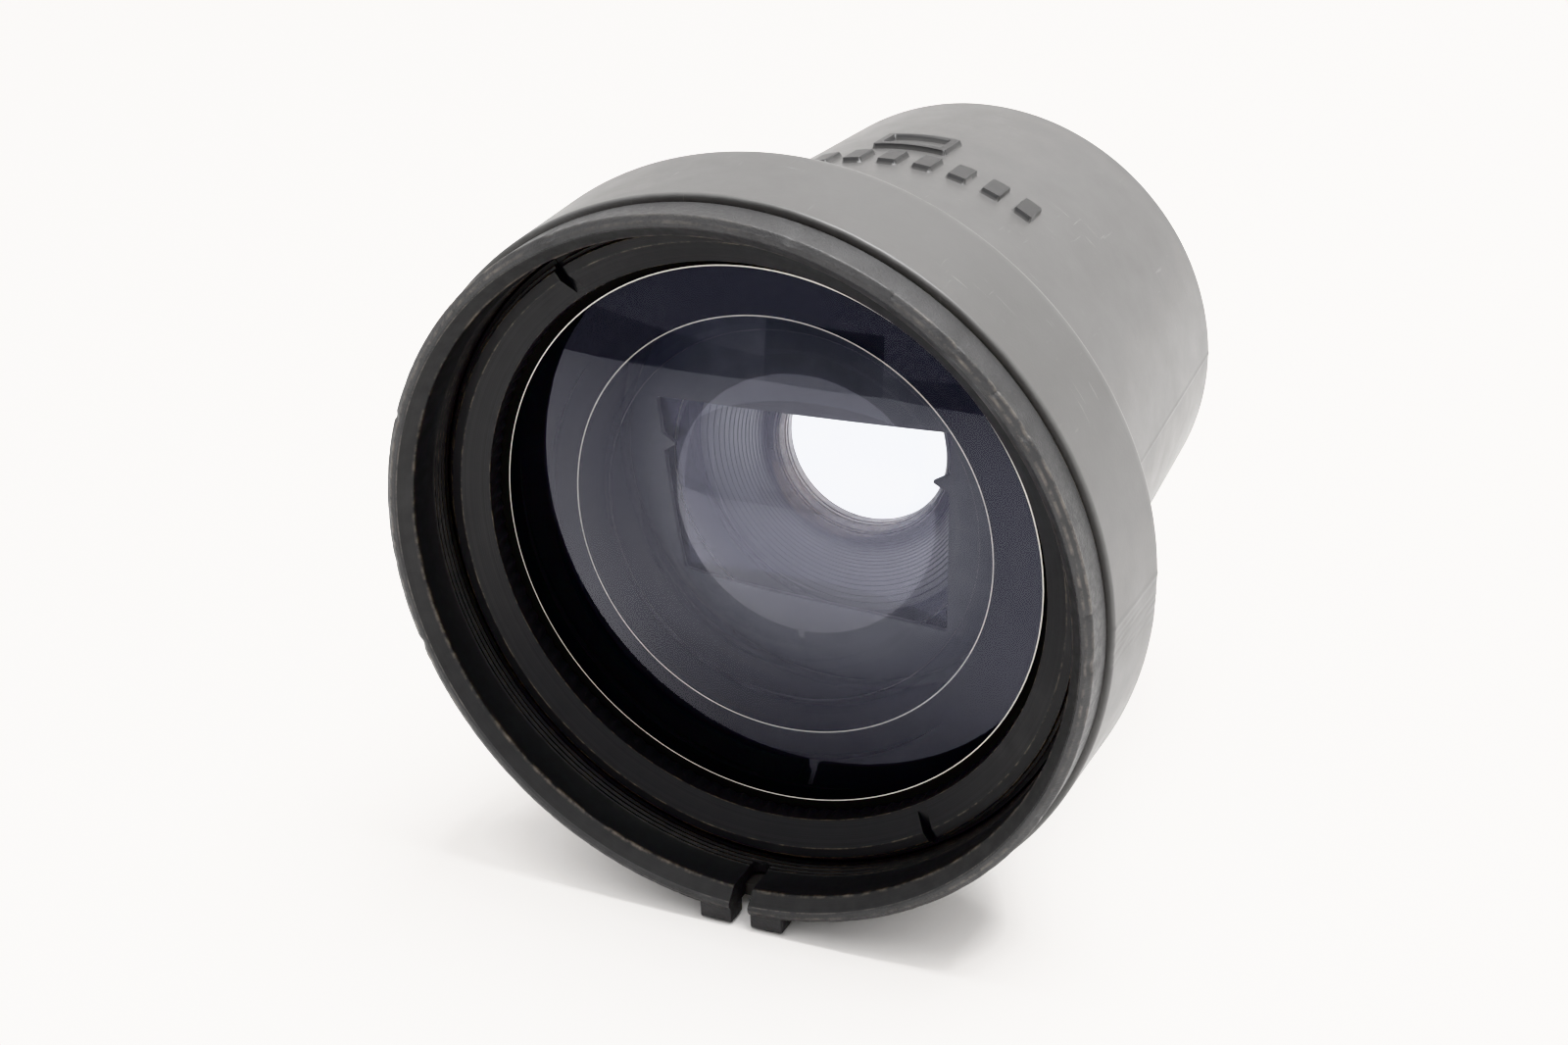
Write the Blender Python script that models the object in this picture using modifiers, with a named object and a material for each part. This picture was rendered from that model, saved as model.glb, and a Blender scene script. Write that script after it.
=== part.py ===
"""Shoe-mounted optical viewfinder with a hooded front lens, a rubber-covered barrel and a locking foot.

The optical axis runs along Y: the front rim faces -Y and the eyepiece faces +Y. The origin is the
centre of the foot's sole. Lengths below are in millimetres. A "station" is a distance along the
optical axis, counted rearwards from the front rim.
"""

import math

import bmesh
import bpy
from mathutils import Matrix, Vector

MM = 0.001

# Fits
FIT_GAP = 0.3  # between pieces that touch or slide
THREAD_RELIEF = 1.1  # hood bore to the face of the ring screwed into it

# Body, outside
BODY_LENGTH = 63.3
BELL_RADIUS = 34.0
BELL_FLARE = 0.2
BELL_EDGE_ROUND = 0.8
SHOULDER_LENGTH = 6.0
TUBE_FRONT_RADIUS = 26.9
TUBE_REAR_RADIUS = 24.2
RUBBER_WALL = 1.4
RUBBER_START = 3.8
RUBBER_OVERHANG = 1.1

# Metal housing
BAND_STEP = 0.6  # bare metal band below the rubber
BAND_CHAMFER = 0.35
HOOD_WALL = 1.1
HOOD_CHAMFER = 1.3
CELL_WALL = 2.9  # tube wall around the front cell
SEAT_WALL = 1.79  # lens seat to the end of the bell, so that the bore stays inside the cone
LEDGE_WIDTH = 2.8
LEDGE_LENGTH = 1.2
REAR_BORE_RADIUS = 20.6

# Alignment notch and the lugs beside it, at the bottom of the rim
NOTCH_WIDTH = 1.85
NOTCH_LENGTH = 5.7
LUG_WIDTH = 3.2
LUG_LENGTH = 2.4
LUG_HEIGHT = 1.4
LUG_TABLE_GAP = 0.2

# Front lens and its ring
FRONT_VERTEX = 5.8
FRONT_CURVE = 100.0
FRONT_LENS_CENTRE = 2.8
FRONT_LENS_FLANGE = 3.3  # thickness of the wide rim, ahead of the step that enters the tube
FRONT_LENS_REAR = 15.3
FRONT_REAR_APERTURE = 19.5
LENS_OVERLAP = 0.1
RING_FRONT = 5.95
RING_FACE_WIDTH = 1.0
RING_LIP_LENGTH = 1.05
RING_CONE_DEPTH = 1.45
RING_CONE_WIDTH = 2.2
RING_SLOT_WIDTH = 1.0
RING_SLOT_DEPTH = 1.1
RING_SLOT_ANGLE = 34.0
O_RING_CORD = 1.2

# Field mask and second lens
MASK_RING_LENGTH = 2.7
MASK_RING_WALL = 1.2
MASK_THICKNESS = 0.6
MASK_OPENING = (30.8, 20.6)
MASK_TAB_HEIGHT = 2.0
MASK_TAB_REACH = 1.6
MASK_TAB_DROP = 4.9  # below the opening's top edge
SECOND_CURVE = 62.0
SECOND_APERTURE = 19.0
SECOND_LENS_CENTRE = 1.6

# Light baffle
BAFFLE_WALL = 1.0
BAFFLE_RIBS = 4
BAFFLE_RIB_HEIGHT = 0.7

# Eyepiece
CELL_LIP_LENGTH = 1.0
CELL_LIP_OVERLAP = 0.8
EYE_CELL_WALL = 1.4
EYE_CURVE = 80.0
EYE_EDGE = 1.4
EYE_SPACER_LENGTH = 4.3
EYE_RIM_WIDTH = 1.0
EYE_RING_LENGTH = 1.9
EYE_O_RING_CORD = 1.0
BEZEL_SPIGOT = 0.9
BEZEL_FLANGE = 1.8
BEZEL_COLLAR = 1.7
BEZEL_NOTCH_WIDTH = 2.0
EYECUP_WALL = 2.0
EYECUP_LIP = 0.7
EYECUP_ROUND = 0.5

# Shoe foot, its lock and the pedestal that carries it
FOOT_STATION = 42.0
FOOT_WIDTH = 18.6
FOOT_LENGTH = 17.6
FOOT_THICKNESS = 1.9
FOOT_CORNER = 1.5
RAIL_GAP = 2.2
PLATE_THICKNESS = 1.0
LOCK_RING_RADIUS = 11.0
LOCK_RING_HEIGHT = 3.0
LOCK_RING_RIBS = 24
LOCK_RIB_DEPTH = 0.4
STEM_RADIUS = 4.5
STEM_FLAT = 3.8
STEM_FOOT_RADIUS = 3.0
STEM_FOOT_DEPTH = 0.8
STEM_TOP_RADIUS = 3.2
PEDESTAL_WIDTH = 21.0
PEDESTAL_LENGTH = 24.0
PEDESTAL_CORNER = 3.0
SCREW_INSET = 3.0
SCREW_HEAD_RADIUS = 1.7
SCREW_HEAD_HEIGHT = 1.0
SCREW_RADIUS = 0.9
SCREW_GRIP = 2.2
SCREW_SLOT = 0.6

# Raised marks on top of the tube
MARK_HEIGHT = 0.5
BAR_COUNT = 9
BAR_SPREAD = 62.0
BAR_LENGTH = 3.5
BAR_WIDTH = 1.9
BAR_STATION = 39.8
FRAME_STATION = 45.8
FRAME_LENGTH = 4.4
FRAME_WIDTH = 7.4
FRAME_LINE = 0.9

# Steps round a turned piece
LARGE_STEPS = 56
LENS_STEPS = 36
SMALL_STEPS = 24

# Radii and stations that follow from the sizes above
SKIN_TO_CORE = RUBBER_WALL + FIT_GAP
BAND_RADIUS = BELL_RADIUS - BAND_STEP
BAND_END = RUBBER_START - FIT_GAP
HOOD_BORE = BELL_RADIUS - SKIN_TO_CORE - HOOD_WALL
HOUSING_LENGTH = BODY_LENGTH - RUBBER_OVERHANG
LENS_RIM = HOOD_BORE - O_RING_CORD - 2 * FIT_GAP
RING_FACE_OUTER = HOOD_BORE - THREAD_RELIEF
RING_BORE = RING_FACE_OUTER - RING_FACE_WIDTH - RING_CONE_WIDTH
LENS_APERTURE = RING_BORE + LENS_OVERLAP
CELL_BORE = TUBE_FRONT_RADIUS - SKIN_TO_CORE - CELL_WALL
CELL_FIT = CELL_BORE - FIT_GAP
LEDGE_RADIUS = CELL_BORE - LEDGE_WIDTH


def sag(curve, radius):
    """Depth of a spherical surface at a radius from its vertex."""
    return curve - math.sqrt(curve * curve - radius * radius)


LENS_EDGE = FRONT_VERTEX + sag(FRONT_CURVE, LENS_APERTURE)
LENS_SHOULDER = LENS_EDGE + FRONT_LENS_FLANGE
LENS_SEAT = LENS_SHOULDER + FIT_GAP
BELL_LENGTH = LENS_SEAT + SEAT_WALL
SHOULDER_END = BELL_LENGTH + SHOULDER_LENGTH
RING_REAR = LENS_EDGE - FIT_GAP
MASK_RING_FRONT = FRONT_LENS_REAR + FIT_GAP
MASK_FRONT = MASK_RING_FRONT + MASK_RING_LENGTH + FIT_GAP
SECOND_FRONT = MASK_FRONT + MASK_THICKNESS + FIT_GAP
SECOND_REAR = SECOND_FRONT + 2 * sag(SECOND_CURVE, SECOND_APERTURE) + SECOND_LENS_CENTRE
LEDGE_FRONT = SECOND_REAR + FIT_GAP
LEDGE_REAR = LEDGE_FRONT + LEDGE_LENGTH

BEZEL_FLANGE_FRONT = HOUSING_LENGTH + FIT_GAP
BEZEL_FRONT = BEZEL_FLANGE_FRONT - BEZEL_SPIGOT
BEZEL_REAR = BEZEL_FLANGE_FRONT + BEZEL_FLANGE
COLLAR_REAR = BEZEL_REAR + BEZEL_COLLAR
EYECUP_REAR = COLLAR_REAR + FIT_GAP + EYECUP_LIP
EYE_CELL_REAR = BEZEL_FRONT - EYE_O_RING_CORD - 2 * FIT_GAP
EYE_CELL_RADIUS = REAR_BORE_RADIUS - FIT_GAP
EYE_LENS_RADIUS = EYE_CELL_RADIUS - EYE_CELL_WALL - FIT_GAP
EYE_APERTURE = EYE_LENS_RADIUS - EYE_RIM_WIDTH
EYE_RING_FRONT = EYE_CELL_REAR - EYE_RING_LENGTH
OUTER_EYE_REAR = EYE_RING_FRONT - FIT_GAP
OUTER_EYE_FRONT = OUTER_EYE_REAR - EYE_EDGE
EYE_SPACER_FRONT = OUTER_EYE_FRONT - FIT_GAP - EYE_SPACER_LENGTH
INNER_EYE_REAR = EYE_SPACER_FRONT - FIT_GAP
INNER_EYE_FRONT = INNER_EYE_REAR - EYE_EDGE
EYE_CELL_FRONT = INNER_EYE_FRONT - FIT_GAP - CELL_LIP_LENGTH
BAFFLE_FRONT = LEDGE_REAR + FIT_GAP
BAFFLE_REAR = EYE_CELL_FRONT - FIT_GAP

# Heights of the foot, from the sole up
PLATE_BOTTOM = FOOT_THICKNESS + RAIL_GAP
LOCK_RING_BOTTOM = PLATE_BOTTOM + PLATE_THICKNESS + FIT_GAP
STEM_SHOULDER = LOCK_RING_BOTTOM + LOCK_RING_HEIGHT
PEDESTAL_BOTTOM = STEM_SHOULDER + FIT_GAP


def skin_radius(station):
    """Outer radius of the rubber on the tapered tube."""
    along = (station - SHOULDER_END) / (BODY_LENGTH - SHOULDER_END)
    return TUBE_FRONT_RADIUS + along * (TUBE_REAR_RADIUS - TUBE_FRONT_RADIUS)


LUG_RADIUS = BAND_RADIUS + LUG_HEIGHT
PEDESTAL_STAND = 0.6  # how far the pedestal shows below the rubber
AXIS_HEIGHT = max(LUG_RADIUS + LUG_TABLE_GAP, skin_radius(FOOT_STATION) + PEDESTAL_BOTTOM + PEDESTAL_STAND)


def clear_scene():
    for obj in list(bpy.data.objects):
        bpy.data.objects.remove(obj, do_unlink=True)


clear_scene()
finder = bpy.data.collections.new("optical_viewfinder")
cutters = bpy.data.collections.new("cutters")
cutters.hide_render = True
bpy.context.scene.collection.children.link(finder)
bpy.context.scene.collection.children.link(cutters)


def empty(name, location, rotation=(0.0, 0.0, 0.0)):
    obj = bpy.data.objects.new(name, None)
    obj.location = Vector(location) * MM
    obj.rotation_euler = rotation
    finder.objects.link(obj)
    return obj


# The optical axis: its local Z points forwards, out of the front rim.
optical_axis = empty("optical_axis", (0, -FOOT_STATION, AXIS_HEIGHT), (math.pi / 2, 0, 0))
foot_axis = empty("foot_axis", (0, 0, 0))


def material(name, color, roughness, metallic=0.0, transmission=0.0):
    made = bpy.data.materials.new(name)
    made.use_nodes = True
    shader = made.node_tree.nodes["Principled BSDF"]
    shader.inputs["Base Color"].default_value = (*color, 1.0)
    shader.inputs["Roughness"].default_value = roughness
    shader.inputs["Metallic"].default_value = metallic
    shader.inputs["Transmission Weight"].default_value = transmission
    return made


def add(name, mesh, location=(0, 0, 0), finish=None, parent=None, rotation=(0.0, 0.0, 0.0)):
    """Put a mesh in the scene: a piece when it has a finish, a cutter when it has none."""
    obj = bpy.data.objects.new(name, mesh)
    obj.location = Vector(location) * MM
    obj.rotation_euler = rotation
    obj.parent = parent
    if finish is None:
        obj.hide_render = True
        obj.display_type = "WIRE"
        cutters.objects.link(obj)
    else:
        mesh.materials.clear()
        mesh.materials.append(finish)
        finder.objects.link(obj)
    return obj


def evaluated_mesh(obj, name):
    """The object's mesh with its modifiers applied."""
    bpy.context.view_layer.update()
    graph = bpy.context.evaluated_depsgraph_get()
    mesh = bpy.data.meshes.new_from_object(obj.evaluated_get(graph), depsgraph=graph)
    mesh.name = name
    return mesh


def shade_round(mesh, angle=30.0):
    mesh.shade_smooth()
    mesh.set_sharp_from_angle(angle=math.radians(angle))


def turned(name, points, steps, finish=None, station=0.0, parent=None):
    """Turn an outline of (station, radius) points round the axis.

    The outline runs rearwards along the outer side. It closes on itself unless it ends on the axis.
    """
    vertices = [(radius * MM, 0, -along * MM) for along, radius in points]
    edges = [(i, i + 1) for i in range(len(points) - 1)]
    if points[-1][1] > 0:
        edges.append((len(points) - 1, 0))
    outline = bpy.data.meshes.new(name + "_outline")
    outline.from_pydata(vertices, edges, [])
    lathe = bpy.data.objects.new(name + "_lathe", outline)
    cutters.objects.link(lathe)
    screw = lathe.modifiers.new("Turn", "SCREW")
    screw.axis = "Z"
    screw.angle = 2 * math.pi
    screw.steps = steps
    screw.render_steps = steps
    screw.use_merge_vertices = True
    screw.merge_threshold = 0.00001
    mesh = evaluated_mesh(lathe, name)
    bpy.data.objects.remove(lathe)
    shade_round(mesh)
    return add(name, mesh, (0, 0, -station), finish, parent)


def box(name, size, location, finish=None, parent=None, rotation=(0.0, 0.0, 0.0)):
    shape = bmesh.new()
    bmesh.ops.create_cube(shape, size=1.0, matrix=Matrix.Diagonal((*(Vector(size) * MM), 1.0)))
    mesh = bpy.data.meshes.new(name)
    shape.to_mesh(mesh)
    shape.free()
    return add(name, mesh, location, finish, parent, rotation)


def cylinder(name, radius, height, location, steps=SMALL_STEPS, finish=None, parent=None, top_radius=None):
    shape = bmesh.new()
    bmesh.ops.create_cone(
        shape,
        cap_ends=True,
        segments=steps,
        radius1=radius * MM,
        radius2=(radius if top_radius is None else top_radius) * MM,
        depth=height * MM,
    )
    mesh = bpy.data.meshes.new(name)
    shape.to_mesh(mesh)
    shape.free()
    shade_round(mesh)
    return add(name, mesh, location, finish, parent)


def boolean(target, other, operation):
    step = target.modifiers.new(other.name, "BOOLEAN")
    step.operation = operation
    step.object = other
    step.solver = "EXACT"


def cut(target, other):
    boolean(target, other, "DIFFERENCE")


def round_upright_edges(obj, radius, segments=3):
    """Bevel the edges that run along local Z."""
    mesh = obj.data
    weights = mesh.attributes.new("bevel_weight_edge", "FLOAT", "EDGE")
    for edge in mesh.edges:
        along = mesh.vertices[edge.vertices[0]].co - mesh.vertices[edge.vertices[1]].co
        if abs(along.z) > 0.9 * along.length:
            weights.data[edge.index].value = 1.0
    bevel = obj.modifiers.new("Corners", "BEVEL")
    bevel.limit_method = "WEIGHT"
    bevel.width = radius * MM
    bevel.segments = segments


def inward(points, distance):
    """The outline moved towards the axis by a distance, with mitred corners."""
    moved = []
    for i, point in enumerate(points):
        here = Vector(point)
        sides = []
        if i > 0:
            sides.append((here - Vector(points[i - 1])).normalized())
        if i < len(points) - 1:
            sides.append((Vector(points[i + 1]) - here).normalized())
        normals = [Vector((side.y, -side.x)) for side in sides]
        normal = sum(normals, Vector((0, 0))).normalized()
        moved.append(tuple(here + normal * (distance / normal.dot(normals[0]))))
    return moved


def rounded(before, corner, after, radius, steps=3):
    """Points of an arc of the given radius that replaces a corner."""
    a = (Vector(before) - Vector(corner)).normalized()
    b = (Vector(after) - Vector(corner)).normalized()
    half = a.angle(b) / 2
    centre = Vector(corner) + (a + b).normalized() * (radius / math.sin(half))
    start = Vector(corner) + a * (radius / math.tan(half)) - centre
    end = Vector(corner) + b * (radius / math.tan(half)) - centre
    turn = start.angle_signed(end)
    return [tuple(centre + Matrix.Rotation(-turn * i / steps, 2) @ start) for i in range(steps + 1)]


def lens_curve(vertex, curve, aperture, outwards=True, count=4):
    """Stations and radii along a spherical face, which opens rearwards when curve is positive."""
    radii = [aperture * i / count for i in range(count + 1)]
    face = [(vertex + math.copysign(sag(abs(curve), radius), curve), radius) for radius in radii]
    return face if outwards else face[::-1]


def cord_circle(station, radius, cord, sides=8):
    turns = [2 * math.pi * i / sides for i in range(sides)]
    return [(station + cord / 2 * math.cos(-t), radius + cord / 2 * math.sin(-t)) for t in turns]


anodised = material("black_anodised", (0.022, 0.021, 0.022), 0.42, 0.6)
painted = material("black_paint", (0.024, 0.023, 0.024), 0.5, 0.2)
rubber = material("black_rubber", (0.030, 0.030, 0.032), 0.72)
seal_rubber = material("seal_rubber", (0.015, 0.015, 0.016), 0.6)
glass = material("coated_glass", (0.82, 0.82, 0.92), 0.02, 0.0, 1.0)
matt_black = material("matt_black", (0.012, 0.012, 0.013), 0.85)
stainless = material("stainless", (0.55, 0.55, 0.56), 0.3, 1.0)
satin_metal = material("satin_metal", (0.48, 0.48, 0.49), 0.38, 1.0)


# Rubber cover: its outer line, and the metal core that lies one wall and one gap below it.
skin = [
    (RUBBER_START, BELL_RADIUS),
    (BELL_LENGTH, BELL_RADIUS + BELL_FLARE),
    (SHOULDER_END, TUBE_FRONT_RADIUS),
    (BODY_LENGTH, TUBE_REAR_RADIUS),
]
skin_inside = inward(skin, RUBBER_WALL)
core = inward(skin, SKIN_TO_CORE)


def make_main_housing():
    """Turned metal housing: hood, cone and tube, with the lens seats bored inside."""
    points = [
        (0, BAND_RADIUS - BAND_CHAMFER),
        (BAND_CHAMFER, BAND_RADIUS),
        (BAND_END, BAND_RADIUS),
        (BAND_END, core[0][1]),
        core[1],
        core[2],
        (HOUSING_LENGTH, skin_radius(HOUSING_LENGTH) - SKIN_TO_CORE),
        (HOUSING_LENGTH, REAR_BORE_RADIUS),
        (LEDGE_REAR, REAR_BORE_RADIUS),
        (LEDGE_REAR, LEDGE_RADIUS),
        (LEDGE_FRONT, LEDGE_RADIUS),
        (LEDGE_FRONT, CELL_BORE),
        (LENS_SEAT, CELL_BORE),
        (LENS_SEAT, HOOD_BORE),
        (HOOD_CHAMFER, HOOD_BORE),
        (0, HOOD_BORE + HOOD_CHAMFER),
    ]
    housing = turned("main_housing", points, LARGE_STEPS, painted, parent=optical_axis)
    lug_root = HOOD_BORE + HOOD_CHAMFER + FIT_GAP
    lug_across = (NOTCH_WIDTH + LUG_WIDTH) / 2
    for side in (-1, 1):
        lug = box(
            f"lug_shape_{side + 2}",
            (LUG_WIDTH, LUG_RADIUS - lug_root, LUG_LENGTH),
            (side * lug_across, -(LUG_RADIUS + lug_root) / 2, -LUG_LENGTH / 2 - BAND_CHAMFER),
            parent=optical_axis,
        )
        boolean(housing, lug, "UNION")
    notch_straight = NOTCH_LENGTH - NOTCH_WIDTH / 2
    notch_middle = (HOOD_BORE + LUG_RADIUS) / 2
    notch_height = 2 * (LUG_RADIUS - HOOD_BORE) + HOOD_WALL
    notch = box(
        "notch_slot",
        (NOTCH_WIDTH, notch_height, 2 * notch_straight),
        (0, -notch_middle, 0),
        parent=optical_axis,
    )
    notch_end = cylinder(
        "notch_end",
        NOTCH_WIDTH / 2,
        notch_height,
        (0, -notch_middle, -notch_straight),
        16,
        parent=optical_axis,
    )
    notch_end.rotation_euler = (math.pi / 2, 0, 0)
    cut(housing, notch)
    cut(housing, notch_end)
    return housing


def make_rubber_armour():
    """Moulded cover stretched over the housing, with raised marks on top of the tube."""
    edge = rounded(skin[0], skin[1], skin[2], BELL_EDGE_ROUND)
    outside = [skin[0], *edge, skin[2], skin[3]]
    inside = [(BODY_LENGTH, skin_inside[3][1]), *skin_inside[2:0:-1], (RUBBER_START, skin_inside[0][1])]
    cover = turned("rubber_armour", outside + inside, LARGE_STEPS, rubber, parent=optical_axis)
    window = box(
        "pedestal_window",
        (PEDESTAL_WIDTH + 2 * FIT_GAP, PEDESTAL_LENGTH + 2 * FIT_GAP, AXIS_HEIGHT),
        (0, 0, 0),
        parent=foot_axis,
    )
    cut(cover, window)
    for i in range(BAR_COUNT):
        turn = math.radians(BAR_SPREAD * (i / (BAR_COUNT - 1) - 0.5))
        raised_mark(cover, f"bar_{i + 1}", BAR_WIDTH, BAR_LENGTH, BAR_STATION, turn)
    frame_turn = (FRAME_WIDTH - FRAME_LINE) / 2 / skin_radius(FRAME_STATION)
    for side in (-1, 1):
        side_turn = side * frame_turn
        raised_mark(cover, f"frame_side_{side + 2}", FRAME_LINE, FRAME_LENGTH, FRAME_STATION, side_turn)
        end_station = FRAME_STATION + side * (FRAME_LENGTH - FRAME_LINE) / 2
        raised_mark(cover, f"frame_end_{side + 2}", FRAME_WIDTH, FRAME_LINE, end_station, 0.0)
    return cover


def raised_mark(cover, name, width, length, station, turn):
    """A small raised pad, sunk half a wall into the cover and turned round the tube by an angle."""
    root = skin_radius(station + length / 2) - RUBBER_WALL / 2
    top = skin_radius(station) + MARK_HEIGHT
    pad = box(
        name,
        (width, top - root, length),
        (-math.sin(turn) * (root + top) / 2, math.cos(turn) * (root + top) / 2, -station),
        parent=optical_axis,
        rotation=(0, 0, turn),
    )
    boolean(cover, pad, "UNION")


def make_front_group():
    """Front lens, its seal and the slotted ring that clamps it against its seat."""
    ring = turned(
        "front_retaining_ring",
        [
            (RING_FRONT, RING_FACE_OUTER),
            (RING_FRONT + RING_LIP_LENGTH, RING_FACE_OUTER),
            (RING_FRONT + RING_LIP_LENGTH, HOOD_BORE - FIT_GAP),
            (RING_REAR, HOOD_BORE - FIT_GAP),
            (RING_REAR, RING_BORE),
            (RING_FRONT + RING_CONE_DEPTH, RING_BORE),
            (RING_FRONT, RING_FACE_OUTER - RING_FACE_WIDTH),
        ],
        LARGE_STEPS,
        anodised,
        parent=optical_axis,
    )
    slot = box(
        "spanner_slot",
        (2 * HOOD_BORE, RING_SLOT_WIDTH, 2 * RING_SLOT_DEPTH),
        (0, 0, -RING_FRONT),
        parent=optical_axis,
        rotation=(0, 0, math.radians(RING_SLOT_ANGLE - 90)),
    )
    cut(ring, slot)
    rear_vertex = FRONT_VERTEX + FRONT_LENS_CENTRE
    rear_sag = FRONT_LENS_REAR - rear_vertex
    rear_curve = (FRONT_REAR_APERTURE**2 + rear_sag**2) / (2 * rear_sag)
    front = lens_curve(FRONT_VERTEX, FRONT_CURVE, LENS_APERTURE)
    rear = lens_curve(rear_vertex, rear_curve, FRONT_REAR_APERTURE, outwards=False)
    rim = [
        (LENS_EDGE, LENS_RIM),
        (LENS_SHOULDER, LENS_RIM),
        (LENS_SHOULDER, CELL_FIT),
        (FRONT_LENS_REAR, CELL_FIT),
    ]
    turned("front_lens", [*front, *rim, *rear], LENS_STEPS, glass, parent=optical_axis)
    seal = cord_circle((LENS_EDGE + LENS_SHOULDER) / 2, LENS_RIM + FIT_GAP + O_RING_CORD / 2, O_RING_CORD)
    turned("front_lens_o_ring", seal, LENS_STEPS, seal_rubber, parent=optical_axis)


def make_mask_outline():
    """The mask's opening: a rectangle with one pointed close-range tab on each side."""
    half_width, half_height = MASK_OPENING[0] / 2, MASK_OPENING[1] / 2
    tab = half_height - MASK_TAB_DROP
    right = [
        (half_width, half_height),
        (half_width, tab + MASK_TAB_HEIGHT / 2),
        (half_width - MASK_TAB_REACH, tab),
        (half_width, tab - MASK_TAB_HEIGHT / 2),
        (half_width, -half_height),
    ]
    return right + [(-x, y) for x, y in reversed(right)]


def make_field_mask():
    """Thin plate whose opening frames the view."""
    flat = bpy.data.curves.new("field_mask", "CURVE")
    flat.dimensions = "2D"
    flat.fill_mode = "BOTH"
    flat.extrude = MASK_THICKNESS / 2 * MM
    turns = [2 * math.pi * i / LENS_STEPS for i in range(LENS_STEPS)]
    disc = [(CELL_FIT * math.cos(t), CELL_FIT * math.sin(t)) for t in turns]
    for outline in (disc, make_mask_outline()):
        spline = flat.splines.new("POLY")
        spline.points.add(len(outline) - 1)
        spline.use_cyclic_u = True
        for point, (x, y) in zip(spline.points, outline):
            point.co = (x * MM, y * MM, 0, 1)
    drawing = bpy.data.objects.new("field_mask_drawing", flat)
    cutters.objects.link(drawing)
    mesh = evaluated_mesh(drawing, "field_mask")
    bpy.data.objects.remove(drawing)
    shape = bmesh.new()
    shape.from_mesh(mesh)
    bmesh.ops.remove_doubles(shape, verts=shape.verts, dist=0.00001)
    bmesh.ops.recalc_face_normals(shape, faces=shape.faces)
    shape.to_mesh(mesh)
    shape.free()
    shade_round(mesh)
    return add("field_mask", mesh, (0, 0, -MASK_FRONT - MASK_THICKNESS / 2), matt_black, optical_axis)


def make_inner_group():
    """Mask, the ring that holds it, second lens and light baffle, all inside the tube."""
    ring = [
        (MASK_RING_FRONT, CELL_FIT),
        (MASK_RING_FRONT + MASK_RING_LENGTH, CELL_FIT),
        (MASK_RING_FRONT + MASK_RING_LENGTH, CELL_FIT - MASK_RING_WALL),
        (MASK_RING_FRONT, CELL_FIT - MASK_RING_WALL),
    ]
    turned("mask_retaining_ring", ring, LENS_STEPS, anodised, parent=optical_axis)
    make_field_mask()
    depth = sag(SECOND_CURVE, SECOND_APERTURE)
    lens = [
        *lens_curve(SECOND_FRONT + depth, -SECOND_CURVE, SECOND_APERTURE),
        (SECOND_FRONT, CELL_FIT),
        (SECOND_REAR, CELL_FIT),
        *lens_curve(SECOND_REAR - depth, SECOND_CURVE, SECOND_APERTURE, outwards=False),
    ]
    turned("second_lens", lens, LENS_STEPS, glass, parent=optical_axis)
    baffle = [(BAFFLE_FRONT, EYE_CELL_RADIUS), (BAFFLE_REAR, EYE_CELL_RADIUS)]
    wall = EYE_CELL_RADIUS - BAFFLE_WALL
    pitch = (BAFFLE_REAR - BAFFLE_FRONT) / BAFFLE_RIBS
    for i in range(BAFFLE_RIBS):
        rear = BAFFLE_REAR - i * pitch
        baffle += [(rear, wall), (rear - pitch, wall - BAFFLE_RIB_HEIGHT)]
    turned("light_baffle", baffle, LENS_STEPS, matt_black, parent=optical_axis)


def make_eyepiece():
    """Two eye lenses in a cell, sealed and held by the bezel, with a rubber ring to rest against."""
    cell_inside = EYE_CELL_RADIUS - EYE_CELL_WALL
    lip = EYE_LENS_RADIUS - CELL_LIP_OVERLAP
    cell = [
        (EYE_CELL_FRONT, EYE_CELL_RADIUS),
        (EYE_CELL_REAR, EYE_CELL_RADIUS),
        (EYE_CELL_REAR, cell_inside),
        (EYE_CELL_FRONT + CELL_LIP_LENGTH, cell_inside),
        (EYE_CELL_FRONT + CELL_LIP_LENGTH, lip),
        (EYE_CELL_FRONT, lip),
    ]
    turned("eyepiece_cell", cell, LENS_STEPS, anodised, parent=optical_axis)
    bulge = sag(EYE_CURVE, EYE_APERTURE)
    inner = [
        (INNER_EYE_FRONT, 0),
        (INNER_EYE_FRONT, EYE_LENS_RADIUS),
        (INNER_EYE_REAR, EYE_LENS_RADIUS),
        *lens_curve(INNER_EYE_REAR + bulge, -EYE_CURVE, EYE_APERTURE, outwards=False),
    ]
    turned("eye_lens_inner", inner, LENS_STEPS, glass, parent=optical_axis)
    outer = [
        *lens_curve(OUTER_EYE_FRONT - bulge, EYE_CURVE, EYE_APERTURE),
        (OUTER_EYE_FRONT, EYE_LENS_RADIUS),
        (OUTER_EYE_REAR, EYE_LENS_RADIUS),
        (OUTER_EYE_REAR, 0),
    ]
    turned("eye_lens_outer", outer, LENS_STEPS, glass, parent=optical_axis)
    for name, front, length in (
        ("eye_lens_spacer", EYE_SPACER_FRONT, EYE_SPACER_LENGTH),
        ("eye_lens_retaining_ring", EYE_RING_FRONT, EYE_RING_LENGTH),
    ):
        ring = [
            (front, EYE_LENS_RADIUS),
            (front + length, EYE_LENS_RADIUS),
            (front + length, EYE_APERTURE),
            (front, EYE_APERTURE),
        ]
        turned(name, ring, LENS_STEPS, anodised, parent=optical_axis)
    seal_station = EYE_CELL_REAR + FIT_GAP + EYE_O_RING_CORD / 2
    seal_radius = EYE_CELL_RADIUS - FIT_GAP - EYE_O_RING_CORD / 2
    seal = cord_circle(seal_station, seal_radius, EYE_O_RING_CORD)
    turned("eyepiece_o_ring", seal, LENS_STEPS, seal_rubber, parent=optical_axis)
    make_bezel()


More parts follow.
